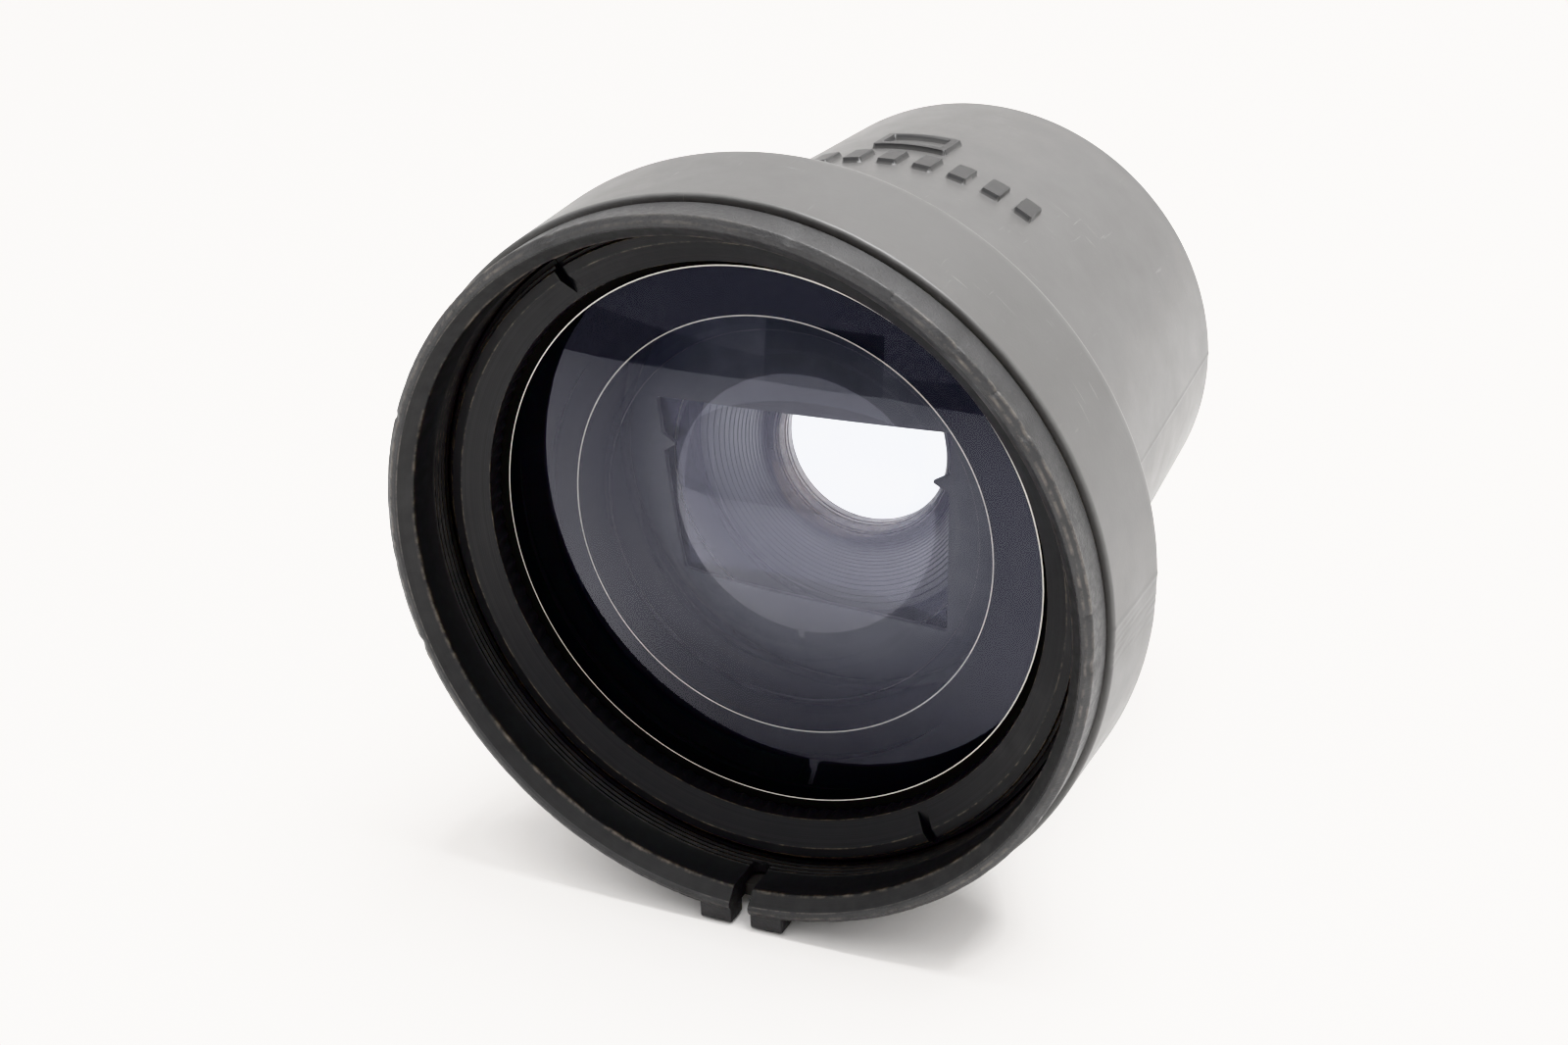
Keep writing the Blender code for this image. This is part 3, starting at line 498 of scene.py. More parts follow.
edge = soften(
    [
        (rubber_end, tube_rear_radius - rubber_wall),
        (rubber_start, bell_front_radius - rubber_wall),
        (rubber_start, bell_front_radius, 0.28),
        (bell_end, bell_radius, 0.85),
        (shoulder_end, tube_front_radius, 1.6),
        (rubber_end, tube_rear_radius, 0.35),
    ]
)
inner_front_radius = bell_front_radius - rubber_wall
front_part = [p for p in edge if p[0] < rubber_start + 0.7 and p[1] > inner_front_radius + 0.1]
bell_flare = (bell_radius - bell_front_radius) / (bell_end - rubber_start)
bell_part = [(s, bell_front_radius + bell_flare * (s - rubber_start), 0.0) for s in bell_rows]
shoulder_part = [p for p in edge if bell_rows[-1] + 0.2 < p[0] < 24]
tube_rows = [25 + 1.2 * i for i in range(10)] + mark_rows + [50, 52, 54, 56, 58, 60]
tube_part = [(s, tube_radius(s), 0.0) for s in tube_rows]
end_part = [p for p in edge[1:] if p[0] > 60.5] + edge[:1]
inside_part = [(20.4, 25.5, 0.0), (14.75, 32.75, 0.0), (rubber_start, inner_front_radius, 0.0)]
cover_outline = front_part + bell_part + shoulder_part + tube_part + end_part + inside_part
mark_height = 0.5
bar_count, bar_spread, bar_length, bar_width, bar_station = 9, 62.0, 3.5, 1.9, 39.8
frame_station, frame_length, frame_width, frame_line = 45.8, 4.4, 7.4, 0.9
parting_turns = (91.0, 269.0)


def pad(u, v, half_width, half_length, corner=0.3, draft=0.2):
    """Height share of a moulded pad with rounded corners and sloping sides, at (u, v) from its middle."""
    du, dv = abs(u) - half_width + corner, abs(v) - half_length + corner
    outside = math.hypot(max(du, 0), max(dv, 0)) + min(max(du, dv), 0) - corner
    share = min(1.0, max(0.0, 0.5 - outside / draft))
    return share * share * (3 - 2 * share)


def moulded(station, radius, turn):
    """Raised marks, parting lines, trimmed flash and the slight waviness of stretched rubber."""
    inside_tube = radius < tube_radius(min(max(station, shoulder_end), rubber_end)) - 0.5
    if inside_tube or (station < 4.3 and radius < 33):
        return station, radius
    angle = math.radians(turn)
    ring = Vector((math.cos(angle), math.sin(angle), 0.0))
    r = radius + 0.03 * noise.noise(ring * 3 + Vector((0, 0, station * 0.12)))
    s = station
    if station < rubber_start + 0.5:
        waver = 0.07 * noise.noise(ring * 9) + 0.04 * noise.noise(ring * 30)
        s += waver * (1 - (station - rubber_start) / 0.5)
    if mark_front < station < mark_rear:
        arc = math.radians(turn - 180) * radius
        height = 0.0
        pitch = math.radians(bar_spread / (bar_count - 1)) * radius
        number = round(arc / pitch)
        if abs(number) <= (bar_count - 1) / 2:
            height = pad(arc - number * pitch, station - bar_station, bar_width / 2, bar_length / 2)
        outer = pad(arc, station - frame_station, frame_width / 2, frame_length / 2)
        hole_width, hole_length = frame_width / 2 - frame_line, frame_length / 2 - frame_line
        inner = pad(arc, station - frame_station, hole_width, hole_length, 0.15)
        r += mark_height * max(height, outer * (1 - inner))
    for line in parting_turns:
        off = (turn - line) * (-1 if line > 180 else 1)
        arc = math.radians(off) * radius
        r += 0.07 * math.exp(-((arc / 0.14) ** 2))
        if station < bell_end + 0.5 and -4.2 < arc < -0.3:
            fade = math.sin(math.pi * min(1.0, (-arc - 0.3) / 3.9)) ** 0.5
            chatter = noise.noise(Vector((station * 0.35, arc * 3.2, line)))
            r += fade * (-0.035 + 0.055 * chatter)
    return s, r


def dense_turns(coarse, zones):
    """Angles all round, close together inside each (from, to, step) zone."""
    found, at = [], 0.0
    while at < 360:
        found.append(at)
        step = next((fine for low, high, fine in zones if low <= at < high), coarse)
        at = round(at + step, 4)
    return found


def paint_mark_shade(mesh):
    """Give the raised marks a wear value below zero, which their rubber shows as painted shade: darker,
    standing in for the shadow on their sides.
    """
    wear = mesh.attributes["wear"].data
    for point, share in zip(mesh.vertices, wear):
        station = (point.co.y - front_y) / mm
        radius = math.hypot(point.co.x, point.co.z - axis_z) / mm
        if mark_front < station < mark_rear and radius > tube_radius(station) + 0.12:
            share.value = -1.0


cover_mesh = turned(
    "armour_cover",
    cover_outline,
    shape=moulded,
    turns=dense_turns(1.5, [(145, 216, 0.3), (84, 93, 0.3), (267, 276, 0.3)]),
)
# Painted shade: the raised marks are flagged so that their rubber is drawn darker.
paint_mark_shade(cover_mesh)
pedestal_low, pedestal_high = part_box("foot_pedestal")
pedestal_wide = (pedestal_high.x - pedestal_low.x) / mm
pedestal_long = (pedestal_high.y - pedestal_low.y) / mm
window_size = (pedestal_wide + 0.6, pedestal_long + 0.6, axis_z / mm)
cover_mesh = carve(cover_mesh, [tool("pedestal_window", window_size, (0, 0, 0))])
cover = place("armour_cover", cover_mesh, [armour_rubber], sharp=45)
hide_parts("rubber_armour")
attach(cover, "finder_body")


# ---- Front retaining ring ----
# Turned ring, anodised black, screwed into the hood to clamp the front lens. It has a narrow flat face,
# a cone falling to the glass, a step with thread crests outside, and two slots for a pin spanner.
ring_black = lathe_finish("ring_black", (0.019, 0.019, 0.020), 0.36)
ring_black.node_tree.nodes["Principled BSDF"].inputs["Specular IOR Level"].default_value = 0.25
ring_front, ring_rear, ring_outer = reach("front_retaining_ring")
ring_face_outer, ring_face_inner, ring_bore = 30.1, 29.1, 26.9
teeth, tooth_depth = 120, 0.13


def toothed(station, radius, turn):
    """Fine teeth round the rear of the bore, left by the tool that cut it."""
    if station > ring_rear - 0.9 and radius < ring_bore + 0.1:
        radius += tooth_depth * math.cos(math.radians(turn) * teeth)
    return station, radius


ring_outline = [
    (ring_front, ring_face_outer, 0.1),
    (ring_front + 0.45, ring_face_outer, 0.05),
    (ring_front + 0.45, ring_face_outer + 0.35, 0.05),
    (ring_front + 1.05, ring_face_outer + 0.35),
    (ring_front + 1.05, ring_outer),
    (ring_rear, ring_outer),
    (ring_rear, ring_bore),
    (ring_rear - 0.7, ring_bore),
    (ring_rear - 1.0, ring_bore + 0.02),
    (ring_front + 1.45, ring_bore, 0.08),
    (ring_front, ring_face_inner, 0.1),
]
ring_mesh = turned("clamp_ring", soften(ring_outline), steps=480, shape=toothed)
slot_turn, slot_size = 34.0, (2 * hood_bore, 2.2, 1.0)
slot_middle = (0, front_y / mm + ring_front, axis_z / mm)
slot_cutter = tool("spanner_slot", slot_size, slot_middle, turn=90 - slot_turn)
clamp_ring = place("clamp_ring", carve(ring_mesh, [slot_cutter]), [ring_black])
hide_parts("front_retaining_ring")
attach(clamp_ring, "finder_body")


# ---- Lenses ----
# Four lenses of optical glass, polished on both faces. Three are coated, and mirror only a faint violet or
# blue; the front one's coating is worn. The ground bevels stay white, and the rims are painted black.
glass_index = 1.53


def lens_finish(name, film, tint, mirror):
    """Clear glass under a coating film of some nanometres, with smears and specks of dust."""
    made, tree, shader = finish(name, Transmission_Weight=1.0, IOR=glass_index)
    shader.inputs["Thin Film Thickness"].default_value = film
    shader.inputs["Thin Film IOR"].default_value = 1.38
    shader.inputs["Specular Tint"].default_value = (*mirror, 1.0)
    spot = where_on(tree)
    smears = spread(tree, grain(tree, spot, 130, 4.0, 0.6), 0.55, 0.8)
    tree.links.new(mixed(tree, smears, tint, tuple(c * 0.97 for c in tint)), shader.inputs["Base Color"])
    specks = node(tree, "TexVoronoi", {"Vector": spot, "Scale": 420.0})
    dust = spread(tree, specks.outputs["Distance"], 0.03, 0.06, 1.0, 0.0)
    tree.links.new(maths(tree, "MULTIPLY", dust, 0.12), shader.inputs["Roughness"])
    return made


def dull_finish(name, base, roughness, depth=0.01, scale=4000):
    """A dull surface with fine grain and faint blotches."""
    made, tree, shader = finish(name)
    spot = where_on(tree)
    speckle = grain(tree, spot, scale, 3.0)
    shades = mixed(tree, spread(tree, speckle, 0.3, 0.7), *tones(base, 0.85, 1.15))
    tree.links.new(shades, shader.inputs["Base Color"])
    dull = spread(tree, grain(tree, spot, 700, 3.0), 0.3, 0.7, roughness * 0.9, min(1.0, roughness * 1.1))
    tree.links.new(dull, shader.inputs["Roughness"])
    bumps(tree, shader, (speckle, depth))
    return made


bare_glass = lens_finish("worn_coated_glass", 0.0, (0.97, 0.97, 0.99), (0.80, 0.82, 1.0))
violet_glass = lens_finish("violet_coated_glass", 105.0, (0.97, 0.97, 0.99), (1.0, 1.0, 1.0))
blue_glass = lens_finish("blue_coated_glass", 112.0, (0.97, 0.98, 0.99), (1.0, 1.0, 1.0))
ground_glass = dull_finish("ground_glass", (0.72, 0.69, 0.64), 0.7)
edge_black = dull_finish("edge_black", (0.014, 0.014, 0.014), 0.9, 0.001, 250)
edge_black.node_tree.nodes["Principled BSDF"].inputs["Specular IOR Level"].default_value = 0.05


def sag(curve, radius):
    """How far a spherical face falls back at a radius."""
    return curve - math.sqrt(curve * curve - radius * radius)


def face(vertex, curve, aperture, outwards=True, count=28):
    """Points along a spherical face, which opens rearwards when its curve is positive."""
    radii = [aperture * i / count for i in range(count + 1)]
    points = [(vertex + math.copysign(sag(abs(curve), r), curve), r) for r in radii]
    return points if outwards else points[::-1]


def lens(name, node_name, front, rim, rear, glass):
    """A lens from its front face, rim and rear face: the rim is black but for a ground bevel at each end."""
    paints = [0] * (len(front) - 1) + [1] + [2] * (len(rim) - 1) + [1] + [0] * len(rear)
    mesh = turned(name, front + rim + rear, 144, paints=paints)
    piece = place(name, mesh, [glass, ground_glass, edge_black])
    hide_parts(node_name)
    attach(piece, "finder_body")


front_vertex, front_rear, front_rim = reach("front_lens")
front_curve, front_centre, front_shoulder = 100.0, 2.8, 12.81
front_bevel, bevel = 25.85, 0.11
rear_aperture, cell_fit = 19.5, 22.0
rear_vertex = front_vertex + front_centre
rear_sag = front_rear - rear_vertex
rear_curve = (rear_aperture**2 + rear_sag**2) / (2 * rear_sag)
bevel_station = front_vertex + sag(front_curve, front_bevel)
lens(
    "front_element",
    "front_lens",
    face(front_vertex, front_curve, front_bevel),
    [
        (bevel_station + 0.03, front_bevel + bevel),
        (bevel_station + 0.25, front_bevel + 1.3 * bevel),
        (ring_rear + 0.2, ring_bore + 0.3),
        (ring_rear + 0.2, front_rim),
        (front_shoulder, front_rim),
        (front_shoulder, cell_fit),
        (front_rear, cell_fit),
        (front_rear, rear_aperture + bevel),
    ],
    face(rear_vertex, rear_curve, rear_aperture, outwards=False),
    bare_glass,
)

second_front, second_rear, second_rim = reach("second_lens")
second_curve, second_aperture = 62.0, 19.0
second_depth = sag(second_curve, second_aperture)
lens(
    "second_element",
    "second_lens",
    face(second_front + second_depth, -second_curve, second_aperture),
    [
        (second_front, second_aperture + bevel),
        (second_front, second_rim),
        (second_rear, second_rim),
        (second_rear, second_aperture + bevel),
    ],
    face(second_rear - second_depth, second_curve, second_aperture, outwards=False),
    blue_glass,
)

inner_front, inner_bulge_rear, eye_radius = reach("eye_lens_inner")
outer_bulge_front, outer_rear, _ = reach("eye_lens_outer")
eye_curve, eye_aperture, eye_edge = 80.0, 17.6, 1.4
lens(
    "eye_element_inner",
    "eye_lens_inner",
    [(inner_front, 0), (inner_front, eye_aperture)],
    [
        (inner_front, eye_aperture + bevel),
        (inner_front + bevel, eye_radius),
        (inner_front + eye_edge, eye_radius),
    ],
    face(inner_bulge_rear, -eye_curve, eye_aperture, outwards=False),
    blue_glass,
)
lens(
    "eye_element_outer",
    "eye_lens_outer",
    face(outer_bulge_front, eye_curve, eye_aperture),
    [
        (outer_rear - eye_edge, eye_radius),
        (outer_rear - bevel, eye_radius),
        (outer_rear, eye_aperture + bevel),
    ],
    [(outer_rear, eye_aperture), (outer_rear, 0)],
    violet_glass,
)


# ---- Seals ----
# Two moulded rubber O-rings: one round the front lens's rim, one between the eyepiece cell and the bezel.
seal_rubber = dull_finish("seal_rubber", (0.014, 0.014, 0.015), 0.5, 0.004)
for name, node_name in (("front_seal", "front_lens_o_ring"), ("eye_seal", "eyepiece_o_ring")):
    seal_front, seal_rear, seal_outer = reach(node_name)
    cord = (seal_rear - seal_front) / 2
    circle = [2 * math.pi * i / 20 for i in range(20)]
    seal_outline = [
        (seal_front + cord * (1 + math.cos(-t)), seal_outer - cord * (1 - math.sin(-t))) for t in circle
    ]
    seal = place(name, turned(name, seal_outline, 144), [seal_rubber])
    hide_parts(node_name)
    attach(seal, "finder_body")


# ---- Field mask and its ring ----
# Thin stamped plate, blackened, whose opening frames the view, with a small pointed close-range tab on
# each side. A plain turned ring holds it against the second lens.
mask_front, mask_rear, mask_radius = reach("field_mask")
mask_wide, mask_high, tab_high, tab_reach, tab_drop = 30.8, 20.6, 2.0, 1.6, 4.9
tab_at = mask_high / 2 - tab_drop
mask_corner = 0.4


def corner_arc(x, z, start, radius=mask_corner, count=5):
    """Points of a rounded inner corner, from a start angle through a quarter turn clockwise."""
    cx, cz = x - math.copysign(radius, x), z - math.copysign(radius, z)
    angles = [start - math.pi / 2 * i / count for i in range(count + 1)]
    return [(cx + radius * math.cos(a), cz + radius * math.sin(a)) for a in angles]


half_wide, half_high = mask_wide / 2, mask_high / 2
tab_tip = half_wide - tab_reach + 0.1
right_side = [(half_wide, tab_at + tab_high / 2), (tab_tip, tab_at + 0.1)]
right_side += [(tab_tip, tab_at - 0.1), (half_wide, tab_at - tab_high / 2)]
opening = (
    corner_arc(-half_wide, half_high, math.pi)
    + corner_arc(half_wide, half_high, math.pi / 2)
    + right_side
    + corner_arc(half_wide, -half_high, 0)
    + corner_arc(-half_wide, -half_high, -math.pi / 2)
    + [(-x, z) for x, z in reversed(right_side)]
)
plate = bpy.data.curves.new("mask_plate", "CURVE")
plate.dimensions, plate.fill_mode = "2D", "BOTH"
mask_bevel = 0.06
plate.extrude = ((mask_rear - mask_front) / 2 - mask_bevel) * mm
plate.bevel_depth, plate.bevel_resolution, plate.offset = mask_bevel * mm, 1, -mask_bevel * mm
turns = [math.radians(turn) for turn in range(0, 360, 2)]
disc = [(mask_radius * math.cos(turn), mask_radius * math.sin(turn)) for turn in turns]
for line in (disc, opening):
    spline = plate.splines.new("POLY")
    spline.points.add(len(line) - 1)
    spline.use_cyclic_u = True
    for point, (x, z) in zip(spline.points, line):
        point.co = (x * mm, z * mm, 0, 1)
drawing = bpy.data.objects.new("mask_drawing", plate)
bpy.context.scene.collection.objects.link(drawing)
graph = bpy.context.evaluated_depsgraph_get()
mask_mesh = bpy.data.meshes.new_from_object(drawing.evaluated_get(graph), depsgraph=graph)
bpy.data.objects.remove(drawing)
mask_shape = bmesh.new()
mask_shape.from_mesh(mask_mesh)
bmesh.ops.remove_doubles(mask_shape, verts=mask_shape.verts, dist=0.000005)
bmesh.ops.rotate(mask_shape, matrix=Matrix.Rotation(math.pi / 2, 3, "X"), verts=mask_shape.verts)
bmesh.ops.translate(
    mask_shape, vec=(0, front_y + (mask_front + mask_rear) / 2 * mm, axis_z), verts=mask_shape.verts
)
bmesh.ops.recalc_face_normals(mask_shape, faces=mask_shape.faces)
mask_shape.to_mesh(mask_mesh)
mask_shape.free()
mask_black = dull_finish("mask_black", (0.040, 0.043, 0.052), 0.6, 0.002, 300)
mask = place("view_mask", mask_mesh, [mask_black])
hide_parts("field_mask")
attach(mask, "finder_body")


def plain_ring(name, node_name, wall, finish_used, steps=180, round_by=0.12):
    """A turned ring of square section with broken edges, as long and wide as its node."""
    start, end, outer = reach(node_name)
    corners = [(start, outer), (end, outer), (end, outer - wall), (start, outer - wall)]
    outline = soften([(*corner, round_by) for corner in corners])
    piece = place(name, turned(name, outline, steps), [finish_used])
    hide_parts(node_name)
    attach(piece, "finder_body")


inner_black = lathe_finish("inner_black", (0.014, 0.014, 0.0145), 0.55)
plain_ring("mask_ring", "mask_retaining_ring", 1.2, inner_black)


# ---- Light baffle ----
# Moulded tube of matt black plastic that fills the space between the second lens and the eyepiece. Fine
# sloping ribs inside it break up stray light.
baffle_front, baffle_rear, baffle_outer = reach("light_baffle")
ribs, rib_wall, rib_height = 16, 1.0, 0.1
rib_pitch = (baffle_rear - baffle_front) / ribs
baffle_corners = [(baffle_front, baffle_outer), (baffle_rear, baffle_outer)]
for i in range(ribs):
    foot = baffle_rear - i * rib_pitch
    baffle_corners += [
        (foot, baffle_outer - rib_wall),
        (foot - rib_pitch + 0.12, baffle_outer - rib_wall - rib_height, 0.05),
        (foot - rib_pitch, baffle_outer - rib_wall - rib_height, 0.05),
    ]
baffle_black = dull_finish("baffle_black", (0.022, 0.021, 0.023), 0.36, 0.002, 300)
baffle = place("ribbed_baffle", turned("ribbed_baffle", soften(baffle_corners), 144), [baffle_black])
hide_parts("light_baffle")
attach(baffle, "finder_body")


# ---- Eyepiece cell, spacer and ring ----
# Turned aluminium, anodised black: a cell that slides into the tube's rear bore, a spacer between the two
# eye lenses, and a ring that holds them.
cell_front, cell_rear, cell_outer = reach("eyepiece_cell")
cell_wall, cell_lip = 1.4, 0.8
cell_outline = [
    (cell_front, cell_outer, 0.15),
    (cell_rear, cell_outer, 0.15),
    (cell_rear, cell_outer - cell_wall, 0.1),
    (cell_front + 1, cell_outer - cell_wall),
    (cell_front + 1, eye_radius - cell_lip),
    (cell_front, eye_radius - cell_lip, 0.1),
]
eye_cell = place("eye_cell", turned("eye_cell", soften(cell_outline), 144), [inner_black])
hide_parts("eyepiece_cell")
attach(eye_cell, "finder_body")
plain_ring("eye_spacer", "eye_lens_spacer", 1.0, inner_black, 144)
plain_ring("eye_ring", "eye_lens_retaining_ring", 1.0, ring_black, 144)


# ---- Rear bezel ----
# Turned ring, anodised black and screwed into the tube's end to hold the eyepiece. Two notches take a
# spanner, and a shallow groove runs round its face.
bezel_front, bezel_rear, bezel_radius = reach("rear_bezel")
flange_front, flange_rear, collar = 62.5, 64.3, 18.6
groove_radius, groove_half, groove_depth = 21.45, 0.15, 0.25
bezel_outline = [
    (bezel_front, cell_outer),
    (flange_front, cell_outer),
    (flange_front, bezel_radius, 0.15),
    (flange_rear, bezel_radius, 0.3),
    (flange_rear, groove_radius + groove_half, 0.05),
    (flange_rear - groove_depth, groove_radius),
    (flange_rear, groove_radius - groove_half, 0.05),
    (flange_rear, collar),
    (bezel_rear, collar, 0.1),
    (bezel_rear, eye_aperture, 0.2),
    (bezel_front, eye_aperture),
]
bezel_mesh = turned("eye_bezel", soften(bezel_outline), 288)
notch_size, notch_y = (2.8, 1.8, 2.0), front_y / mm + flange_rear
bezel_notches = [
    tool(f"bezel_notch_{side}", notch_size, (side * bezel_radius, notch_y, axis_z / mm), round_by=0.15)
    for side in (-1, 1)
]
bezel = place("eye_bezel", carve(bezel_mesh, bezel_notches), [ring_black])
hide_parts("rear_bezel")
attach(bezel, "finder_body")


# ---- Eyecup ring ----
# Soft moulded rubber ring stretched over the bezel's collar, with a rolled lip and three fine grip grooves.
cup_front, cup_rear, cup_outer = reach("eyecup_ring")
grooves, groove_pitch, lip, collar_gap = 3, 0.5, 0.7, 0.3
groove_corners = []
for i in range(grooves):
    at = cup_front + 0.55 + i * groove_pitch
    groove_corners += [(at - 0.1, cup_outer, 0.04), (at, cup_outer - 0.14, 0.03), (at + 0.1, cup_outer, 0.04)]
cup_outline = [
    (cup_front, cup_outer, 0.12),
    *groove_corners,
    (cup_rear, cup_outer, 0.5),
    (cup_rear, eye_aperture, 0.4),
    (cup_rear - lip, eye_aperture),
    (cup_rear - lip, collar + collar_gap),
    (cup_front, collar + collar_gap),
]
soft_rubber = dull_finish("soft_rubber", (0.045, 0.045, 0.046), 0.62, 0.006, 3000)
cup = place("eye_cup", turned("eye_cup", soften(cup_outline), 288), [soft_rubber])
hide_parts("eyecup_ring")
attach(cup, "finder_body")


# ---- Pedestal ----
# Milled aluminium block, painted black like the housing, saddled on the tube and carrying the foot.
# Four screws go up through it into the tube, their heads sunk in counterbores.
def slab(name, width, length, low, high, corner, edge, steps=8):
    """A block with round upright corners and broken top and bottom edges."""
    levels = [(low, -edge), (low + 0.3 * edge, -0.3 * edge), (low + edge, 0.0)]
    levels += [(high - edge, 0.0), (high - 0.3 * edge, -0.3 * edge), (high, -edge)]
    places, faces, wear = [], [], []
    for height, inset in levels:
        for quarter in range(4):
            for i in range(steps + 1):
                angle = math.radians(90 * (quarter + i / steps))
                cx = (width / 2 - corner) * (1 if quarter in (0, 3) else -1)
                cy = (length / 2 - corner) * (1 if quarter in (0, 1) else -1)
                r = corner + inset
                x, y = cx + r * math.cos(angle), cy + r * math.sin(angle)
                places.append((x * mm, y * mm, height * mm))
                wear.append(1.0 if inset else 0.3)
    around = 4 * (steps + 1)
    rings = [range(level * around, (level + 1) * around) for level in range(len(levels))]
    for below, above in zip(rings, rings[1:]):
        faces += skin(below, above)
    faces += [tuple(reversed(rings[0])), tuple(rings[-1])]
    return mesh_of(name, places, faces, wear)


pedestal_bottom = pedestal_low.z / mm
foot_station = -front_y / mm
block = slab("foot_block", pedestal_wide, pedestal_long, pedestal_bottom, axis_z / mm, 3.0, 0.4)
saddle_reach = pedestal_long
saddle = peg(
    "saddle",
    [
        (-saddle_reach, tube_radius(foot_station + saddle_reach) - rubber_wall),
        (saddle_reach, tube_radius(foot_station - saddle_reach) - rubber_wall),
    ],
    (0, 0, axis_z / mm),
    steps=160,
    axis="Y",
)
stem_hole_radius = 3.5
stem_hole = peg("stem_hole", [(-5, stem_hole_radius), (30, stem_hole_radius)], (0, 0, pedestal_bottom))
screw_across, screw_along = pedestal_wide / 2 - 3, pedestal_long / 2 - 3
screw_places = [(x, y) for x in (-screw_across, screw_across) for y in (-screw_along, screw_along)]
counterbore = [(-1, 2.35), (0.0, 2.35), (0.18, 2.0), (1.6, 2.0), (1.6, 1.2), (12, 1.2)]
holes = [
    peg(f"counterbore_{i}", counterbore, (x, y, pedestal_bottom), 32)
    for i, (x, y) in enumerate(screw_places)
]
block = carve(carve(block, [saddle]), [stem_hole, *holes])
pedestal_paint = paint_finish("pedestal_paint", (0.034, 0.033, 0.034), (0.22, 0.19, 0.16), 0.012)
pedestal = place("foot_block", block, [pedestal_paint])
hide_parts("foot_pedestal")
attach(pedestal, "finder_body")


# ---- Pedestal screws ----
# Four small turned stainless-steel screws with rounded cheese heads and a cross recess.
def steel_finish(name, base, roughness, brushed=(1.0, 1.0, 1.0), scale=900):
    """Bare steel, scratched along one way, with smears that dull it."""
    made, tree, shader = finish(name, Metallic=1.0)
    spot = node(tree, "Mapping", {"Vector": where_on(tree), "Scale": brushed}).outputs[0]
    lines = grain(tree, spot, scale, 4.0, 0.6)
    stain = spread(tree, grain(tree, where_on(tree), 160, 4.0), 0.35, 0.7)
    colour = mixed(tree, lines, tuple(c * 0.8 for c in base), base)
    colour = mixed(tree, maths(tree, "MULTIPLY", stain, 0.4), colour, tuple(c * 0.55 for c in base))
    tree.links.new(colour, shader.inputs["Base Color"])
    dull = spread(tree, lines, 0.3, 0.7, roughness * 0.8, roughness * 1.2)
    tree.links.new(maths(tree, "MULTIPLY_ADD", stain, 0.12, dull), shader.inputs["Roughness"])
    bumps(tree, shader, (lines, 0.004))
    return made


screw_steel = steel_finish("screw_steel", (0.52, 0.51, 0.50), 0.26)
screw_low, screw_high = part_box("pedestal_screw_1")
head_bottom, screw_tip = screw_low.z / mm, screw_high.z / mm
head_radius, shank_radius, screw_pitch = 1.7, 0.9, 0.4
head_top = head_bottom + 1.0
screw_outline = [(head_bottom, 0.0), (head_bottom, 1.35), (head_bottom + 0.1, 1.58)]
screw_outline += [(head_bottom + 0.3, head_radius), (head_top, head_radius), (head_top, shank_radius)]
for i in range(int((screw_tip - head_top - screw_pitch) / screw_pitch)):
    foot = head_top + screw_pitch / 2 + screw_pitch * i
    screw_outline += [(foot, shank_radius - 0.1), (foot + screw_pitch / 2, shank_radius)]
screw_outline += [(screw_tip - 0.2, shank_radius - 0.1), (screw_tip, shank_radius - 0.3), (screw_tip, 0.0)]
cross_size = (2.1, 0.5, 1.3)
cross = [
    tool(f"cross_{turn}", cross_size, (0, 0, head_bottom), turn=turn, axis="Z", round_by=0.05)
    for turn in (0, 90)
]
screw_mesh = carve(mesh_only(peg("screw", screw_outline, (0, 0, 0), 32)), cross)
for i, (x, y) in enumerate(screw_places):
    body = screw_mesh.copy()
    body.transform(Matrix.Translation((x * mm, y * mm, 0)) @ Matrix.Rotation(0.4 + 0.7 * i, 4, "Z"))
    screw = place(f"block_screw_{i + 1}", body, [screw_steel])
    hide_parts(f"pedestal_screw_{i + 1}")
    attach(screw, "finder_body")


# ---- Foot and stem ----
# The foot is a stamped stainless plate that slides into an accessory shoe. The stem is turned, with two
# flats milled on it that keep the pressure plate from turning.
def sized(node_name):
    """Width, length, lowest and highest level of a node, in millimetres."""
    low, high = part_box(node_name)
    return (high.x - low.x) / mm, (high.y - low.y) / mm, low.z / mm, high.z / mm


foot_steel = steel_finish("foot_steel", (0.50, 0.49, 0.48), 0.32, (1.0, 0.04, 1.0), 2600)
stem_steel = steel_finish("stem_steel", (0.55, 0.54, 0.53), 0.22, (1.0, 1.0, 6.0))
foot_wide, foot_long, foot_low, foot_high = sized("foot_plate")
sole = slab("shoe_foot", foot_wide, foot_long, foot_low, foot_high, 1.5, 0.25)
socket_outline = [(-1.1, 3.3), (0.0, 3.3), (0.2, 3.5), (1, 3.5)]
sole = carve(sole, [peg("stem_socket", socket_outline, (0, 0, foot_high))])
shoe_foot = place("shoe_foot", sole, [foot_steel])
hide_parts("foot_plate")
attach(shoe_foot, "finder_body")

_, _, stem_low, stem_high = sized("foot_stem")
stem_radius, stem_flat, stem_top_radius, stem_shoulder = 4.5, 3.8, 3.2, 8.4
pin_radius, stem_chamfer, groove_floor = 3.0, 0.15, stem_radius - 0.22
stem_start = foot_high + 0.3
stem_outline = [(stem_low, pin_radius), (stem_start, pin_radius)]
stem_outline += [(stem_start, stem_radius - stem_chamfer), (stem_start + stem_chamfer, stem_radius)]
rib = foot_high + 3.4
while rib < stem_shoulder - 0.5:
    stem_outline += [(rib, stem_radius), (rib + 0.12, groove_floor), (rib + 0.38, groove_floor)]
    rib += 0.5
stem_outline += [(stem_shoulder - stem_chamfer, stem_radius), (stem_shoulder, stem_radius - stem_chamfer)]
stem_outline += [(stem_shoulder, stem_top_radius), (stem_high - 0.2, stem_top_radius)]
stem_outline += [(stem_high, stem_top_radius - 0.2)]
stem_mesh = mesh_only(peg("stem_blank", stem_outline, (0, 0, 0), 96))
flat_size, flat_middle = (stem_radius, 20, 2 * stem_shoulder), stem_flat + stem_radius / 2
